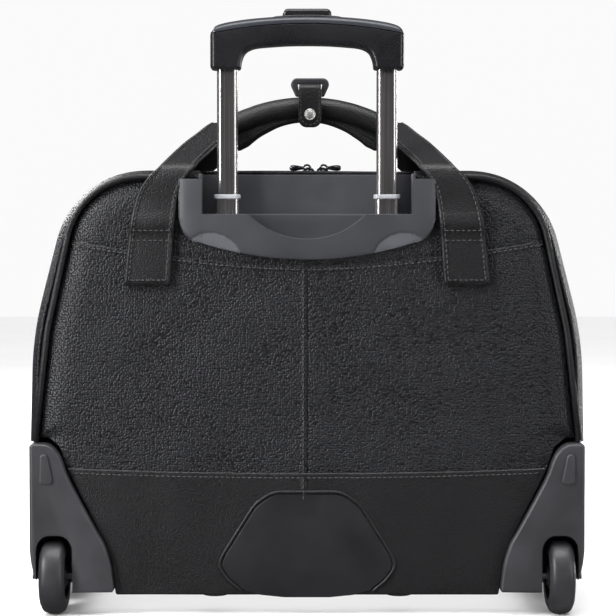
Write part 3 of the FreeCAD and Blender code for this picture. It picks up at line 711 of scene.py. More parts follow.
def yoke_height(x):
    """The upper yoke seam dips to the middle and rises towards the sides."""
    return 0.278 + 0.0185 * (abs(x) / 0.178) ** 1.7


def bezel_low(x):
    return BEZEL_LOW + BEZEL_BEND - math.sqrt(BEZEL_BEND ** 2 - x ** 2)


def centre_seam(x, z):
    return abs(x) if z < yoke_height(x) else 1.0


def yoke_seam(x, z):
    return abs(z - yoke_height(x))


def seam_lift(x, z):
    """The lower seam rises a little towards the sides, and takes the leather with it."""
    return 0.004 * (x / 0.19) ** 2 * max(0.0, 1 - abs(z - SEAM_Z) / 0.06)


# The guard's upper edge, where the rear panel ends: (half width, height).
GUARD_LINE = [(0.191, SEAM_Z), (0.197, 0.131), (0.206, 0.138), (0.214, 0.1385)]


def spots_on(tree, line, lift=0.0003, rear=True):
    """The (x, z) points of a line set down on a surface, without those that miss it."""
    found = [on_surface(tree, x, z, rear, lift) for x, z in line]
    return [spot for spot in found if spot]


def rear_panel():
    """The padded rear panel with its folded seams, open behind the trolley's bezel."""
    foot = [(0.1905, SEAM_Z - 0.002)] + GUARD_LINE
    rows = panel_rows(SEAM_Z, PANEL_CORNERS, PANEL_RADII, 0.0026, foot)
    panel = sheet_panel("rear_leather_panel", rows, SHELL_BACK, 168,
                        (centre_seam, yoke_seam), -1, 2.6, 0.004, warp=seam_lift,
                        hole=lambda spot: abs(spot.x) < 0.090
                        and spot.z > bezel_low(spot.x) + 0.004)
    finish_piece(panel, "root", PEBBLED, ("back_panel",))
    tree = tree_of(panel)
    spans = [(side * 0.187, side * 0.088, 40) for side in (-1, 1)] + [(-0.086, 0.086, 70)]
    rows = []
    for number, (start, end, steps) in enumerate(spans):
        line = [start + (end - start) * part / steps for part in range(steps + 1)]
        line = [(x, yoke_height(x)) for x in line]
        fold(f"yoke_fold_{number}", tree, line, (0, -1), PEBBLED)
        rows.append(spots_on(tree, [(x, z - 0.0030) for x, z in line], 0.0012))
    upright = [(0.0, z / 1000) for z in range(112, 277, 3)]
    fold("centre_fold", tree, upright, (-1, 0), PEBBLED)
    rows.append(spots_on(tree, [(-0.0030, z) for _, z in upright], 0.0012))
    stitches("rear_panel_stitches", rows, "root")


def lower_panel():
    """The plain band that laps over the panel at the lower seam."""
    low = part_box("lower_back_panel")[0][2]
    foot = [(0.1525, low), (0.156, 0.0425), (0.161, 0.057), (0.191, SEAM_Z)]
    rows = [Vector(spot) for spot in resampled([Vector(p) for p in foot], 0.003)]
    panel = sheet_panel("lower_leather_band", rows, SHELL_BACK + 0.0012, 130, (), -1, 1.2,
                        0.002, warp=seam_lift)
    finish_piece(panel, "root", SMOOTH, ("lower_back_panel",))
    tree = tree_of(panel)
    line = [(x / 1000, SEAM_Z - 0.0036 + seam_lift(x / 1000, SEAM_Z))
            for x in range(-185, 186, 5)]
    upright = [(0.0, z / 1000) for z in range(92, 112, 3)]
    fold("lower_centre_fold", tree, upright, (-1, 0), SMOOTH)
    stitches("lower_seam_stitches", [spots_on(tree, line), spots_on(
        tree, [(-0.0030, z) for _, z in upright], 0.0012)], "root")


def gusset(name, near, far, low, node, body, cuts=()):
    """The wall between a piping and the zipper: it tucks in at the piping and bulges past it.
    near is the piping's distance from the parting plane."""
    spots = []
    steps = 22
    line = outline(CASE_CORNERS, CASE_RADII, 0.0, low, 0.0045)
    count = len(line)
    for index, spot in enumerate(line):
        ahead = line[min(index + 1, count - 1)] - line[max(index - 1, 0)]
        normal = Vector((ahead.y, -ahead.x)).normalized()
        for step in range(steps + 1):
            t = step / steps
            depth = near + (far - near) * t
            tuck = 0.0050 * max(0.0, 1 - t / 0.16) ** 2
            crown = (0.0014 - 0.0012 * normal.y) * math.sin(math.pi * t)
            sway = 0.0009 * noise.noise(Vector((spot.x * 16, depth * 20, spot.y * 16)))
            flat = spot + normal * (crown + sway * math.sin(math.pi * t) - tuck)
            spots.append(Vector((flat.x, depth, flat.y)))
    faces = grid_faces(count, steps + 1)
    if near < 0:
        faces = [tuple(reversed(face)) for face in faces]
    piece = new_piece(name, spots, faces)
    modify(piece, "SUBSURF", levels=1, render_levels=1)
    modify(piece, "SOLIDIFY", thickness=0.0028, offset=-1)
    bake(piece)
    for box_low, box_high in cuts:
        carve(piece, box_low, box_high)
    return finish_piece(piece, body, PEBBLED, (node,))


def case_walls():
    """The leather walls of both halves and the stitches beside the zipper."""
    near = -0.0858
    cuts = (((-0.3, -0.2, 0.0), (0.3, GUARD_FRONT, GUARD_TOP + 0.0004)),
            ((-CUP_HALF, -0.2, CASE_TOP - 0.02), (CUP_HALF, CUP_FRONT, CASE_TOP + 0.02)))
    gusset("rear_leather_wall", near, -0.0034, TRAY_TOP, "rear_gusset", "root", cuts)
    gusset("front_leather_wall", -near, 0.0034, TRAY_TOP + 0.002, "front_gusset",
           "front_half")
    for number, offset in ((60, 0.0060), (100, 0.0100)):
        for label, side, low, body in (("rear", -1, TRAY_TOP, "root"),
                                       ("front", 1, TRAY_TOP + 0.002, "front_half")):
            seam = outline(CASE_CORNERS, CASE_RADII, -0.0006, low, 0.0045)
            stitches(f"{label}_zip_stitches_{number}",
                     [[Vector((spot.x, side * offset, spot.y)) for spot in seam]], body)


def pipings():
    """The round pipings along the edges of both halves."""
    for node, body in (("rear_piping", "root"), ("front_piping", "front_half")):
        refined(node, body, SMOOTH, 0.0002, 1)


# ------------------------------------------------------------------ straps and handles

# A strap's stations: depth from the middle, height, outer and inner edge.
STRAP = [(0.0936, 0.2625, 0.1452, 0.1083), (0.0940, 0.284, 0.1430, 0.1069),
         (0.0938, 0.301, 0.1411, 0.1057), (0.0962, 0.3095, 0.1402, 0.1050),
         (0.0960, 0.3150, 0.1392, 0.1044), (0.0942, 0.3225, 0.1377, 0.1036),
         (0.0934, 0.3310, 0.1351, 0.1025), (0.0932, 0.3400, 0.1317, 0.1000),
         (0.0926, 0.3490, 0.1250, 0.0948), (0.0898, 0.3560, 0.1172, 0.0888),
         (0.0800, 0.3606, 0.1134, 0.0862), (0.0650, 0.3679, 0.1074, 0.0797),
         (0.0480, 0.3764, 0.0998, 0.0720), (0.0320, 0.3845, 0.0909, 0.0633),
         (0.0200, 0.3905, 0.0847, 0.0575), (0.0130, 0.3940, 0.0800, 0.0545)]
# The heights of the two rows of stitches that close a strap's sewn patch.
PATCH_ROWS = (0.2977, 0.3055)


def strap(name, side, face, broad=0.0):
    """A leather strap from its sewn patch, over the case's edge and up to the roll. broad
    widens its inner edge where it leaves the case. Gives the piece and a function for the
    lines that run along it."""
    middle = smooth_path([(depth, height) for depth, height, _, _ in STRAP], 5)
    edges = smooth_path([(outer, inner) for _, _, outer, inner in STRAP], 5)
    last = len(middle) - 1
    for spot, edge in zip(middle, edges):
        edge.y -= broad * max(0.0, 1 - abs(spot.x - 0.070) / 0.03)
    normals = []
    for index in range(len(middle)):
        ahead = middle[min(index + 1, last)] - middle[max(index - 1, 0)]
        normals.append(Vector((ahead.y, -ahead.x)).normalized())

    def place(index, u, lift):
        edge = edges[index]
        x = (edge.x + edge.y) / 2 + u * (edge.x - edge.y) / 2
        flat = middle[index] + normals[index] * lift
        return Vector((side * x, face * flat.x, flat.y))

    across = (-1.0, -0.985, -0.94, -0.88, -0.82, -0.76, -0.6, -0.35, -0.1, 0.15, 0.4, 0.6,
              0.76, 0.82, 0.88, 0.94, 0.985, 1.0)
    points = []
    for index in range(last + 1):
        for u in across:
            rim = 0.0006 * max(0.0, 1 - ((abs(u) - 0.90) / 0.09) ** 2)
            belly = 0.0006 * (1 - u * u)
            edge = 0.0 if abs(u) == 1 else (0.0008 if abs(u) > 0.98 else 0.0014)
            points.append(place(index, u, edge + rim + belly))
        for u in reversed(across):
            points.append(place(index, u, 0.0 if abs(u) == 1 else -0.0014))

    def line(u, low=0.0, high=1.0):
        """A line up the strap at a share u of its half width, between two heights."""
        return [place(index, u, 0.0019 + 0.0006 * (1 - u * u)) for index in range(last + 1)
                if low <= middle[index].y <= high]

    return bar(name, points, 2 * len(across), True), line


def straps(prefix, face, nodes, broad=0.0):
    """A handle's two straps and their stitches, attached to no body."""
    for side, label in ((-1, "left"), (1, "right")):
        piece, line = strap(f"{prefix}_strap_{label}", side, face, broad)
        finish_piece(piece, None, SMOOTH, nodes)
        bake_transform(piece)
        rows = [line(-0.80, 0.265, 0.3895), line(0.80, 0.265, 0.3895)]
        for height in (0.2655, *PATCH_ROWS):
            left, right = (line(u, height, height + 0.004)[0] for u in (-0.80, 0.80))
            rows.append([left.lerp(right, part / 6) for part in range(7)])
        thread = stitches(f"{prefix}_strap_stitches_{label}", rows, None)
        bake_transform(thread)


def roll(prefix, face, body, node):
    """The rolled grip of a carry handle: padded leather closed by a sewn fin below."""
    count = 96
    centre_z = ROLL_CROWN - ROLL_BEND
    reach = math.asin((ROLL_HALF + 0.007) / ROLL_BEND)
    half_section = [(math.sin(turn), math.cos(turn)) for turn in
                    [math.pi * 0.93 * part / 16 for part in range(1, 17)]]
    points, threads = [], []
    for index in range(count + 1):
        share = 2 * index / count - 1
        turn = share * reach
        out = Vector((math.sin(turn), 0, math.cos(turn)))
        middle = Vector((0, face * ROLL_BACK, centre_z)) + out * ROLL_BEND
        tip = max(0.0, (abs(share) - 0.94) / 0.06)
        radius = ROLL_RADIUS * (1 - 0.30 * tip ** 2)
        radius *= 1 + 0.025 * noise.noise(Vector((share * 7, face, 3.0)))
        grow = min(1.0, max(0.0, (abs(share) * 0.069 - 0.011) / 0.046))
        fin = 0.0018 + 0.0088 * grow ** 1.4
        side = [Vector((0, radius * y, radius * z)) for y, z in half_section]
        side += [Vector((0, thick, -radius - deep)) for thick, deep in
                 ((0.0024, -radius * 0.015), (0.0019, fin * 0.2), (0.0018, fin * 0.55),
                  (0.0017, fin * 0.9), (0.0010, fin))]
        ring = [Vector((0, 0, radius))] + side + [Vector((0, 0, -radius - fin - 0.0004))]
        ring += [Vector((0, -spot.y, spot.z)) for spot in reversed(side)]
        points += [middle + out * spot.z + Vector((0, spot.y, 0)) for spot in ring]
        threads.append((share, middle, out, radius, fin))
    piece = bar(f"{prefix}_padded_roll", points, len(ring))
    finish_piece(piece, body, SMOOTH, (node,))
    rows = []
    for away in (-0.0021, 0.0021):
        for low, high in ((-0.97, -0.24), (0.24, 0.97)):
            for deep in (0.30, 0.62):
                rows.append([middle - out * (radius + fin * deep) + Vector((0, away, 0))
                             for share, middle, out, radius, fin in threads
                             if low < share < high])
    stitches(f"{prefix}_roll_stitches", rows, body, 0.0022, 0.0010, 0.0003)


def keeper_ring():
    """The flat loop that the keeper's strap passes through, its sides drawn in below."""
    low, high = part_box("keeper_ring")
    middle = (low[0] + high[0]) / 2
    half, wide = (high[0] - low[0]) / 2, 0.0064
    outer = mirrored([(half - 0.0048, low[2], 0.0020), (half, low[2] + 0.0105, 0.0060),
                      (half - 0.0030, high[2], 0.0050)])
    inner = mirrored([(half - wide - 0.0014, low[2] + 0.0022, 0.0010),
                      (half - wide, low[2] + 0.0100, 0.0020),
                      (half - wide - 0.0004, high[2] - 0.0048, 0.0016)])

    def moved(corners):
        return [(middle + spot.x, spot.y) for spot in rounded_outline(corners)]

    ring = plate("keeper_loop_ring", moved(outer), low[1], high[1], 0.0014)
    subtract(ring, plate("keeper_hole", moved(inner), low[1] - 0.01, high[1] + 0.01, 0.0001))
    finish_piece(bevel(ring, 0.0008, 3, 60), "rear_handle", GUARD,
                 ("keeper_ring",))


def keeper():
    """The keeper: a leather sleeve and loop, the ring, and the flap with its snap."""
    wrap_low, wrap_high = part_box("keeper_wrap")
    refined("keeper_wrap", "rear_handle", SMOOTH, 0.0006)
    keeper_ring()
    low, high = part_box("keeper_flap")
    refined("keeper_flap", "keeper", SMOOTH, 0.0008)
    left, right, face = low[0] + 0.0020, high[0] - 0.0020, low[1] - 0.0002
    bend = (right - left) / 2
    line = [Vector((left, face, high[2] - 0.002)), Vector((left, face, low[2] + bend + 0.002))]
    for part in range(1, 9):
        turn = math.pi * part / 16
        line.append(Vector((left + bend * (1 - math.cos(turn)), face,
                            low[2] + 0.002 + bend * (1 - math.sin(turn)))))
    other = [Vector((left + right - spot.x, spot.y, spot.z)) for spot in reversed(line)]
    stitches("keeper_stitches", [line + other], "keeper", 0.0024, 0.0010, 0.00035)
    middle = (wrap_low[0] + wrap_high[0]) / 2
    half = (wrap_high[0] - wrap_low[0]) / 2 - 0.0004
    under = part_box("keeper_ring")[1][2] - 0.0049
    rear = (low[1] + high[1]) / 2
    loop = smooth_path([(rear, high[2] - 0.0020), (rear, high[2] + 0.0006),
                        (rear + 0.0018, under - 0.0022), (rear + 0.0060, under - 0.0012),
                        (-ROLL_BACK, under - 0.0012), (-ROLL_BACK + 0.0050, under - 0.0028),
                        (-ROLL_BACK + 0.0066, under - 0.0060),
                        (-ROLL_BACK + 0.0066, wrap_high[2] - 0.0020)], 6)
    points = []
    for index, spot in enumerate(loop):
        ahead = loop[min(index + 1, len(loop) - 1)] - loop[max(index - 1, 0)]
        normal = Vector((-ahead.y, ahead.x)).normalized()
        for share, thick in ((-1, 0.0005), (-0.9, 0.0010), (0.9, 0.0010), (1, 0.0005),
                             (1, -0.0005), (0.9, -0.0010), (-0.9, -0.0010), (-1, -0.0005)):
            flat = spot + normal * thick
            points.append(Vector((middle + share * half, flat.x, flat.y)))
    finish_piece(bar("keeper_strap_loop", points, 8), "rear_handle", SMOOTH)
    snap_low, snap_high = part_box("snap_cap")
    centre = centre_of("snap_cap")
    centre.y = snap_high[1]
    size = (snap_high[0] - snap_low[0]) / 2
    profile = [(size * share, -proud) for share, proud in
               ((1, 0.0), (1, 0.0010), (0.94, 0.0016), (0.86, 0.0017), (0.80, 0.0014),
                (0.74, 0.0014), (0.66, 0.0017), (0.40, 0.0020), (0.10, 0.0021))]
    dome = lathe("snap_dome", centre, "Y", profile)
    finish_piece(bevelled(dome), "keeper", SNAP, ("snap_cap",))


# ------------------------------------------------------------------ wheels and guards

def wheels():
    """The wheels: a tyre with a rounded tread round a dished hub."""
    for label in ("left", "right"):
        body = f"wheel_{label}"
        low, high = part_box(f"tyre_{label}")
        centre = centre_of(f"tyre_{label}")
        outer, half = (high[2] - low[2]) / 2, (high[0] - low[0]) / 2
        hub_low, hub_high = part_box(f"hub_{label}")
        rim = (hub_high[2] - hub_low[2]) / 2
        tread = [(rim + 0.0002, -half), (rim + 0.0025, -half - 0.0001),
                 (outer - 0.0042, -half + 0.0008)]
        for part in range(1, 7):
            turn = math.pi * part / 14
            tread.append((outer - 0.0042 + 0.0040 * math.sin(turn),
                          -half + 0.0008 + 0.0055 * (1 - math.cos(turn))))
        tread.append((outer, -0.0022))
        tread = lathe(f"tread_{label}", centre, "X", both_ways(tread), 96, True)
        finish_piece(bevelled(tread), body, TYRE, (f"tyre_{label}",))
        dish = [(0.0052, -half + 0.0040), (0.0085, -half + 0.0016), (0.0105, -half + 0.0016),
                (0.0116, -half + 0.0042), (0.0160, -half + 0.0046), (0.0172, -half + 0.0030),
                (0.0192, -half + 0.0004), (rim, -half + 0.0002)]
        hub = lathe(f"wheel_hub_{label}", centre, "X", both_ways(dish), 96, True)
        finish_piece(bevelled(hub), body, SATIN, (f"hub_{label}",))


# The distance of a wheel well's middle from the case's middle.
WELL_MIDDLE = 0.2009
# The guard's outline on the right side: its inner edge from foot to top, then outside.
GUARD_EDGE = [(0.1535, 0.0185), (0.1546, 0.030), (0.1566, 0.0425), (0.1610, 0.0563),
              (0.1670, 0.0672), (0.1757, 0.0830), (0.1860, 0.1024), (0.1914, 0.1140),
              (0.1954, 0.1252), (0.2002, 0.1322), (0.2062, 0.1362), (0.2120, 0.1370)]
GUARD_SIDE = [(0.2204, 0.1370, 0.0030), (0.2204, 0.052, 0.03), (0.2194, 0.0425, 0.03),
              (0.2170, 0.0315, 0.02), (0.2135, 0.0240, 0.008), (0.2080, 0.0180, 0.004)]


def guards():
    """The moulded corners: a rounded shell with the wheel's well cut into it."""
    for label, sign in (("left", -1), ("right", 1)):
        node = f"wheel_housing_{label}"
        low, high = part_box(node)
        line = rounded_outline([(spot.x, spot.y, 0) for spot in smooth_path(GUARD_EDGE, 4)]
                               + GUARD_SIDE)
        axle = centre_of(f"tyre_{label}")
        axle.x = sign * WELL_MIDDLE
        piece = plate(f"guard_shell_{label}", [(sign * spot.x, spot.y) for spot in line],
                      low[1], high[1], 0.0026)
        room, bend, wide = 0.0376, 0.0112, 0.0145
        profile = [(0.0005, -wide)]
        profile += [(room - bend + bend * math.sin(turn), -wide + bend * (1 - math.cos(turn)))
                    for turn in [math.pi * part / 20 for part in range(11)]]
        subtract(piece, lathe("well_tool", axle, "X", both_ways(profile), 128))
        carve(piece, (axle.x - wide, low[1] - 0.01, -0.01),
              (axle.x + wide, axle.y + room, axle.z + 0.0005))
        bevel(piece, 0.0006, 2, 50, True)
        finish_piece(piece, "root", GUARD, (node,))
        bump = [(0.2118, 0.1290, 0.0035), (0.2058, 0.1290, 0.0035), (0.2010, 0.1048, 0.0030),
                (0.2126, 0.1048, 0.0030)]
        line = [(sign * spot.x, spot.y) for spot in rounded_outline(bump)]
        bump = plate(f"guard_bump_{label}", line, low[1] - 0.0022, low[1] + 0.001, 0.0018)
        finish_piece(bump, "root", GUARD)


# ------------------------------------------------------------------ plastic and metal

def kick_plate():
    """The scuff plate low on the rear, inside a raised bead of leather."""
    low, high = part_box("kick_plate")
    half = [(0.0180, low[2], 0.03), (0.0380, 0.0160, 0.03), (0.0500, 0.0196, 0.0080),
            (0.0612, 0.0290, 0.0080), (0.0685, 0.0390, 0.0090), (0.0650, 0.0475, 0.0140),
            (0.0402, 0.0868, 0.0240), (0.0270, high[2], 0.0200)]
    line = rounded_outline(mirrored(half))
    sheet = plate("scuff_plate", line, -SHELL_BACK - 0.0026, -SHELL_BACK + 0.001, 0.0007)
    finish_piece(sheet, "root", SCUFF, ("kick_plate",))
    middle = Vector((0, 0.055))
    around = []
    for index, spot in enumerate(line):
        ahead = (line[(index + 1) % len(line)] - line[index - 1]).normalized()
        out = Vector((ahead.y, -ahead.x))
        flat = spot + math.copysign(0.0021, out.dot(spot - middle)) * out
        around.append(Vector((flat.x, -SHELL_BACK - 0.0018, flat.y)))
    around = [spot for spot in around if spot.z > 0.0185]
    around.sort(key=lambda spot: math.atan2(spot.x, middle.y - spot.z) % math.tau)
    finish_piece(tube("scuff_plate_bead", resampled(around, 0.002), 0.0014), "root",
                 SMOOTH)


def bezel():
    """The plastic bezel round the trolley's mouth: a convex face, a scoop for the fingers
    and two shallow hollows at its lower corners."""
    low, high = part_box("trolley_bezel")
    outer, rear, front, top = high[0], low[1], high[1], high[2]
    step_x, floor, scoop_z, scoop_radius = 0.0832, 0.3186, 0.364, 0.065
    hollow_x, hollow_z, hollow_size, sliver = 0.0765, 0.2785, 0.027, 0.00001

    def bottom(x):
        x, bend = abs(x), 0.085
        if x <= bend:
            return bezel_low(x)
        share = min(1.0, (x - bend) / (outer - bend))
        return bezel_low(bend) + 0.0225 * (1 - math.sqrt(1 - share ** 2))

    def from_hollow(x, z):
        """The distance to the middle of the nearer finger hollow."""
        return math.hypot(abs(x) - hollow_x, z - hollow_z)

    def ceiling(x):
        x = abs(x)
        if x > step_x:
            return top
        return scoop_z - math.sqrt(scoop_radius ** 2 - x ** 2) if x < 0.0465 else floor

    half = [0.0013 * part for part in range(64)] + [step_x - sliver, step_x + sliver]
    half += [0.0845 + 0.0011 * part for part in range(16)]
    half = [x for x in half if x < outer - 0.0001] + [outer - 0.00005]
    columns = [-x for x in reversed(half[1:])] + half
    border = [(x, bottom(x)) for x in columns]
    border += [(side * outer, 0.319 + 0.0014 * part) for part in range(20)
               for side in (-1, 1)]
    to_rim = rim_of(border)
    rows, lip, roll_off = 30, 0.0038, 0.020
    points = []
    for x in columns:
        base, crest = bottom(x), ceiling(x)
        for row in range(rows + 1):
            z = base + (crest - base) * row / rows
            near = min(1.0, to_rim(x, z) / roll_off)
            proud = lip + (-rear - SHELL_BACK - lip) * math.sqrt(1 - (1 - near) ** 2)
            hollow = hollow_size - from_hollow(x, z)
            if hollow > 0:
                proud -= min(1.0, hollow / 0.0015) * 0.0009
            points.append(Vector((x, -SHELL_BACK - proud, z)))
    piece = new_piece("bezel_face", points, grid_faces(len(columns), rows + 1))
    with mesh_of(piece) as shape:
        face_rear(shape)
        border = [side for side in shape.edges if side.is_boundary]
        made = bmesh.ops.extrude_edge_only(shape, edges=border)["geom"]
        for corner in (part for part in made if isinstance(part, bmesh.types.BMVert)):
            corner.co.y = front - 0.0002
    bevel(piece, 0.0007, 3, 55, True)
    finish_piece(piece, "root", BEZEL, ("trolley_bezel",))
    # The finger hollows' faces take the lighter material, a painted highlight for the light that
    # falls on them.
    piece.data.materials.append(HOLLOW_HIGHLIGHT)
    for part in piece.data.polygons:
        if part.normal.y < -0.5 and from_hollow(part.center.x, part.center.z) < hollow_size - 0.0015:
            part.material_index = 1


def grip_arch(seam, low, high, near, far):
    """The grip's body up to the seam: rounded sections swept along the arch."""
    outer, foot = high[0], low[2]
    # Pairs of points (x, z): the inside of the arch, and the outside across from it.
    pairs = [(0.0526, foot, outer, foot), (0.0526, 0.4368, outer, 0.4370),
             (0.0521, 0.4400, outer, 0.4425), (0.0508, 0.4440, outer, 0.4500),
             (0.0488, 0.4473, outer, 0.4600), (0.0450, 0.4497, outer, 0.4740),
             (0.0395, 0.4512, 0.0650, 0.4790), (0.0300, 0.4521, 0.0440, 0.4790),
             (0.0160, 0.4530, 0.0210, 0.4790), (0.0, 0.4533, 0.0, 0.4790)]
    inner = turned_over(smooth_path([pair[:2] for pair in pairs], 5))
    outside = turned_over(smooth_path([pair[2:] for pair in pairs], 5))
    half_deep, middle_y, bend = (far - near) / 2, (near + far) / 2, 0.0042
    points, last, steps = [], len(inner) - 1, 7
    for index, (start, end) in enumerate(zip(inner, outside)):
        long = (end - start).length
        rise = min(index, last - index) / 4
        inset = 0.0018 * (1 - math.sqrt(1 - (1 - rise) ** 2)) if rise < 1 else 0.0
        for corner_x, corner_y, first in ((long, 1, 0), (0, 1, 1), (0, -1, 2), (long, -1, 3)):
            for part in range(steps):
                turn = (first + part / (steps - 1)) * math.pi / 2
                away = abs(corner_x - inset) - bend if corner_x else inset + bend
                along = away + bend * math.cos(turn)
                deep = corner_y * (half_deep - inset - bend) + bend * math.sin(turn)
                flat = start.lerp(end, along / long)
                points.append(Vector((flat.x, middle_y + deep, flat.y)))
    above = [(x / 1000, seam(x / 1000)) for x in range(-90, 91, 3)]
    above += [(0.090, 0.52), (-0.090, 0.52)]
    arch = bar("grip_arch", points, 4 * steps)
    return subtract(arch, plate("grip_tool", above, near - 0.01, far + 0.01, 0.0001))


def grip_cover(seam, top, outer, near, far):
    """The cover over the seam: a low vault whose height follows its crest."""
    crest = smooth_path([(0, top), (0.022, top - 0.0006), (0.045, top - 0.0024),
                         (0.0610, top - 0.0047), (0.0686, 0.4698), (0.0728, 0.4680),
                         (0.0753, 0.4655), (outer, 0.4622)], 5)
    crest = [Vector((-spot.x, spot.y)) for spot in reversed(crest[1:])] + crest
    points, ring, round_off = [], 28, 0.0046
    for x, height in crest:
        bottom = seam(x) + 0.0008
        tall = max(0.0004, height - bottom)
        end = max(0.0, (abs(x) - (outer - round_off)) / round_off)
        deep = (far - near) / 2 - round_off * (1 - math.sqrt(max(0.0, 1 - end ** 2)))
        for part in range(ring + 1):
            turn = math.pi * part / ring
            flat = math.copysign(abs(math.cos(turn)) ** 0.75, -math.cos(turn))
            points.append(Vector((x, (near + far) / 2 + deep * flat,
                                  bottom + tall * math.sin(turn) ** 0.75)))
    return bar("grip_top", points, ring + 1)


def grip():
    """The trolley's grip: the arched body, its cover and the release button. The cover's lighter
    bluish colour is partly its own tone and partly a painted highlight for the light its top
    catches.
    """
    low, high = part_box("grip_body")
    near, far, arc = low[1], high[1] - 0.0004, 0.372

    def seam(x):
        return high[2] - arc + math.sqrt(arc ** 2 - x ** 2)

    button_low, button_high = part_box("release_button")
    crown, slot, ease = button_high[2], 0.0198, 0.0003
    cover_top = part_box("grip_cover")[1][2] + 0.0004

    def slotted(piece, floor):
        return carve(piece, (-slot, button_low[1] - ease, floor),
                     (slot, button_high[1] + ease, 0.52))

    arch = slotted(grip_arch(seam, low, high, near, far), 0.4655)
    finish_piece(bevel(arch, 0.0005, 2, 60, True), "upper_stage", GRIP,
                 ("grip_body",))
    cover = slotted(grip_cover(seam, cover_top, high[0], near, far), 0.44)
    modify(cover, "EDGE_SPLIT", split_angle=math.radians(60))
    finish_piece(bake(cover), "upper_stage", COVER, ("grip_cover",))
    corners = mirrored([(0.0194, 0.4700, 0), (0.0194, crown, 0.0045)])
    button = plate("thumb_button", rounded_outline(corners), button_low[1], button_high[1],
                   0.0030, 5, False)
    finish_piece(button, "release", BUTTON, ("release_button",))
    ring = []
    for part in range(65):
        turn = math.tau * part / 64
        x = 0.0272 * math.copysign(abs(math.cos(turn)) ** 0.6, math.cos(turn))
        ring.append(Vector((x, (near + far) / 2 + 0.0080 * math.sin(turn),
                            cover_top - 0.0006 - x ** 2 / 2 / 0.377)))
    finish_piece(tube("button_surround", ring, 0.0010, 8, False), "upper_stage", BUTTON)


def studs():
    """Small rubber studs under the rear edge of the base."""
    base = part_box("base_tray")[0][2]
    profile = [(0.0110, 0.0006), (0.0108, -0.0006), (0.0096, -0.0016), (0.0060, -0.0020)]
    for label, x in (("left", -0.0735), ("right", 0.0735)):
        stud = lathe(f"rubber_stud_{label}", Vector((x, -0.0800, base)), "Z", profile, 48)
        finish_piece(bevelled(stud), "root", RUBBER)


def hard_parts():
    """The plastic and metal parts, and the paint of the CAD nodes that stay as they are."""
    kick_plate()
    bezel()
    grip()
    studs()
    refined("trolley_well", "root", BEZEL, 0.0008)
    for side in ("left", "right"):
        for stage, body in (("outer", "root"), ("middle", "middle_stage"),
                            ("upper", "upper_stage")):
            refined(f"{stage}_tube_{side}", body, GUNMETAL, 0.0003)
    refined("tube_collars", "middle_stage", COLLAR, 0.0006)
    refined("base_tray", "root", SMOOTH, 0.0022)
    refined("front_feet", "root", RUBBER, 0.0016)
    refined("organizer_pocket", "front_half", LINING, 0.0012)
    sleeve = refined("laptop_sleeve", "root", LINING, 0.0016)
    paint = {BOARD: ("back_board",), GUARD: ("tube_foot",),
             STEEL: ("bearings", "wheel_axles", "foot_screws", "bracket_rivets",
                     "grip_screws", "release_rods", "lock_pin"),
             TAPE: ("rear_zipper_tape", "front_zipper_tape", "pocket_zipper")}
    for name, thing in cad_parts.items():
        for material, starts in paint.items():
            if name.startswith(starts):
                for slot in thing.material_slots:
                    slot.material = material


# ------------------------------------------------------------------ zippers

def zipper_teeth():
    """A coil of small teeth along both tapes, set half a pitch apart."""
    pitch = 0.0026
    for label, face, body, low in (("rear", -1, "root", TRAY_TOP + 0.001),
                                   ("front", 1, "front_half", TRAY_TOP + 0.003)):
        line = outline(CASE_CORNERS, CASE_RADII, -0.0002, low, pitch)
        shape = bmesh.new()
        for index, spot in enumerate(line[1:-1], start=1):
            ahead = (line[index + 1] - line[index - 1]).normalized()
            shift = ahead * (pitch / 4 * face)
            out = Vector((ahead.y, -ahead.x))
            for corner in bmesh.ops.create_cube(shape, size=1.0)["verts"]:
                run = ahead * corner.co.x * 0.0012 * (1.3 if corner.co.y * face > 0 else 0.8)
                up = out * (corner.co.z * 0.0013 + 0.0004)
                depth = face * 0.0013 + corner.co.y * 0.0019
                place = spot + shift + run + up
                corner.co = Vector((place.x, depth, place.y))
        piece = from_bmesh(f"{label}_zipper_teeth", shape)
        modify(piece, "BEVEL", width=0.0002, segments=1)
        finish_piece(bake(piece), body, COIL, smooth=False)


def zipper_slider(name, node, body):
    """A slider's body: a waisted plate with a bridge for the pull."""
    low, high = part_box(node)
    middle = centre_of(node)
    long, deep, sides = high[0] - low[0], high[1] - low[1], 16
    waisted = []
    for index in range(sides):
        turn = math.tau * index / sides
        across = 0.5 * deep * math.sin(turn) * (0.82 + 0.18 * math.cos(turn))
        waisted.append((middle.x + 0.5 * long * math.cos(turn), middle.y + across))
    parts = []
    for base, thick in ((low[2] - 0.0006, 0.0012), (low[2] + 0.0016, 0.0010)):
        points = [(x, y, z) for z in (base, base + thick) for x, y in waisted]
        parts.append(new_piece("plate", points, bar_faces(2, sides)))
    crown = high[2] + 0.0008
    bridge = mirrored([(0.0042, low[2]), (0.0041, crown - 0.0022),
                       (0.0026, crown - 0.0006)])
    bridge.insert(3, (0, crown))
    path = smooth_path([(middle.x - x, middle.y, z) for x, z in bridge], 4)
    piece = joined(name, [*parts, tube("bridge", path, 0.0012, 10)])
    finish_piece(bevel(piece, 0.0004, 3, 30), body, NICKEL, (node,))


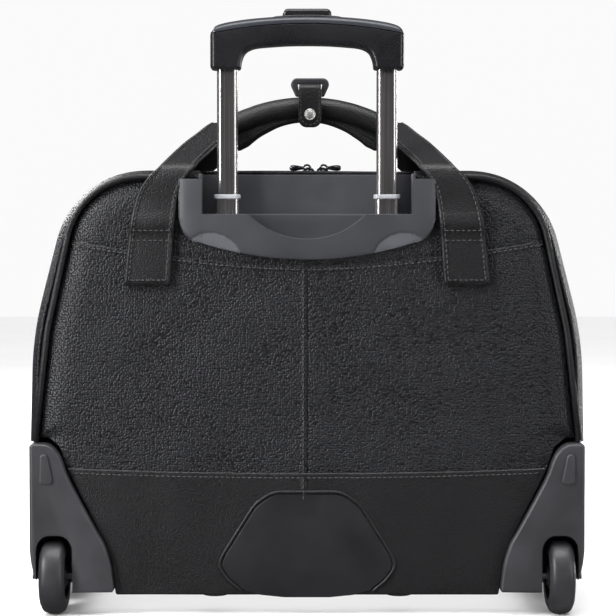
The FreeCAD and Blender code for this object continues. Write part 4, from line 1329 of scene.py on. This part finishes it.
def zipper_pull(label, sign):
    """A pull: a wire ring on the slider and a rounded drop of metal hanging from it."""
    node = f"zip_pull_{label}"
    low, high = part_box(node)
    start = high[0] if sign < 0 else low[0]
    middle = centre_of(node)
    middle.x = 0
    ring = [middle + Vector((start - sign * 0.0008 + 0.0029 * math.cos(turn), 0.0004,
                             0.0027 * math.sin(turn) - 0.0002))
            for turn in [math.tau * part / 24 for part in range(25)]]
    length = high[0] - low[0]
    stations = [(0.0014, 0.0012), (0.0022, 0.0019), (0.0034, 0.0018), (0.0052, 0.0022),
                (0.0080, 0.0028), (length - 0.0030, 0.0030), (length - 0.0010, 0.0024),
                (length - 0.0002, 0.0010)]
    points, profile, sides = [], smooth_path(stations, 4), 20
    for spot in profile:
        for side in range(sides):
            turn = math.tau * side / sides
            points.append(middle + Vector((start + sign * spot.x, spot.y * math.cos(turn),
                                           0.80 * spot.y * math.sin(turn))))
    drop = new_piece("drop", points, bar_faces(len(profile), sides))
    piece = joined(f"pull_tab_{label}", [drop, tube("link", ring, 0.0009, 10, False)])
    finish_piece(outward(piece, True), f"pull_{label}", NICKEL, (node,))


def main_zipper():
    """The zipper round the case with both sliders and pulls, and the pocket's slider."""
    zipper_teeth()
    for label, sign in (("left", -1), ("right", 1)):
        zipper_slider(f"zipper_slider_{label}", f"zip_slider_{label}", f"zipper_{label}")
        zipper_pull(label, sign)
    refined("pocket_slider", "pocket_zip", NICKEL, 0.0006)


# ------------------------------------------------------------------ front half

def front_half():
    """The front: its padded panel and the pocket on it."""
    rows = panel_rows(TRAY_TOP + 0.004, PANEL_CORNERS, PANEL_RADII, 0.0048)
    panel = sheet_panel("front_leather_panel", rows, SHELL_BACK, 90, (), 1, 2.0, 0.004)
    finish_piece(panel, "front_half", PEBBLED, ("front_panel",))
    low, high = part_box("front_pocket")
    round_off = 0.024
    foot = [(high[0] - round_off + round_off * math.sin(turn * math.pi / 16),
             low[2] + round_off - round_off * math.cos(turn * math.pi / 16))
            for turn in range(9)]
    rows = [Vector(spot) for spot in foot]
    rows += [rows[-1].lerp(Vector((high[0], high[2])), part / 34) for part in range(1, 35)]
    pocket = sheet_panel("front_pocket_face", rows, high[1] - 0.002, 70,
                         (lambda x, z: abs(z - (low[2] + 0.125)),), 1, 2.5, 0.005)
    finish_piece(pocket, "front_half", PEBBLED)
    refined("front_pocket", "front_half", SMOOTH, 0.0015)
    tree = tree_of(pocket)
    lines = [[(x / 1000, z) for x in range(-158, 159, 6)]
             for z in (low[2] + 0.0035, low[2] + 0.1285, low[2] + 0.1215, high[2] - 0.0045)]
    lines += [[(x, low[2] + 0.026 + part * 0.005) for part in range(30)]
              for x in (low[0] + 0.004, high[0] - 0.004)]
    lines = [spots_on(tree, line, rear=False) for line in lines]
    stitches("front_pocket_stitches", [line for line in lines if len(line) > 1],
             "front_half")


# ------------------------------------------------------------------ stage

def aimed(thing, place, aim):
    """Put a lamp or a camera somewhere and point it at a place."""
    thing.location = place
    thing.rotation_euler = (Vector(aim) - Vector(place)).to_track_quat("-Z", "Y").to_euler()
    return thing


def area_light(name, place, aim, wide, high, power):
    light = setup(bpy.data.lights.new(name, "AREA"), energy=power, shape="RECTANGLE",
                  size=wide, size_y=high)
    return aimed(shown(name, light), place, aim)


def studio():
    """The camera, a white floor in white surroundings, and soft lights."""
    camera = setup(bpy.data.cameras.new("camera"), lens=117.9, sensor_width=36)
    bpy.context.scene.camera = aimed(shown("camera", camera), (0.0007, -SHELL_BACK - 1.60, 0.300),
                                     (0.0007, -SHELL_BACK, 0.2445))
    white = Nodes("studio_white", (0.92, 0.92, 0.92), 0.9)
    cloud = white.noise(3.0)
    white.colors(white.ramp(cloud, 0.3, 0.7), (0.91, 0.91, 0.91), (0.93, 0.93, 0.93))
    floor = new_piece("floor", [(x, y, 0) for x, y in ((-4, -0.7), (4, -0.7), (4, 6), (-4, 6))],
                      [(0, 1, 2, 3)])
    floor.data.materials.append(white.material)
    floor.visible_glossy = False
    world = bpy.data.worlds.new("studio")
    world.use_nodes = True
    nodes, links = world.node_tree.nodes, world.node_tree.links
    seen = nodes.new("ShaderNodeLightPath").outputs["Is Camera Ray"]
    level = nodes.new("ShaderNodeMapRange")
    level.inputs["To Min"].default_value = 0.07
    level.inputs["To Max"].default_value = 0.96
    links.new(seen, level.inputs["Value"])
    nodes["Background"].inputs["Color"].default_value = (1, 1, 1, 1)
    links.new(level.outputs["Result"], nodes["Background"].inputs["Strength"])
    bpy.context.scene.world = world
    bpy.context.scene.view_settings.view_transform = "Standard"
    middle = (0, -0.05, 0.25)
    for name, place, wide, high, power in (
            ("key", (-1.5, -0.95, 1.25), 0.5, 0.5, 27),
            ("left_strip", (-1.15, -1.05, 0.35), 0.22, 1.3, 12),
            ("right_strip", (1.35, -0.80, 0.35), 0.25, 1.3, 5),
            ("top", (0, -0.35, 1.75), 1.6, 0.7, 26),
            ("fill", (1.5, -1.3, 0.9), 0.9, 0.9, 3),
            ("front_key", (-1.3, 1.8, 1.3), 0.9, 0.9, 34),
            ("front_strip", (1.5, 1.2, 0.5), 0.3, 1.3, 14)):
        area_light(name, place, middle, wide, high, power)
    under = area_light("under", (0, -0.005, 0.0145), (0, -0.005, 0), 0.36, 0.15, 0.16)
    setup(under, visible_camera=False, visible_glossy=False)
    sun = setup(bpy.data.lights.new("overhead", "SUN"), energy=2.9, angle=math.radians(110))
    shown("overhead", sun).visible_glossy = False


rear_panel()
lower_panel()
case_walls()
pipings()
straps("rear", -1, ("rear_strap_anchors", "rear_handle_straps"))
straps("front", 1,
       ("front_strap_anchors", "front_handle_straps"), 0.008)
roll("rear", -1, "rear_handle", "rear_handle_roll")
roll("front", 1, "front_handle", "front_handle_roll")
keeper()
wheels()
guards()
hard_parts()
main_zipper()
front_half()
studio()
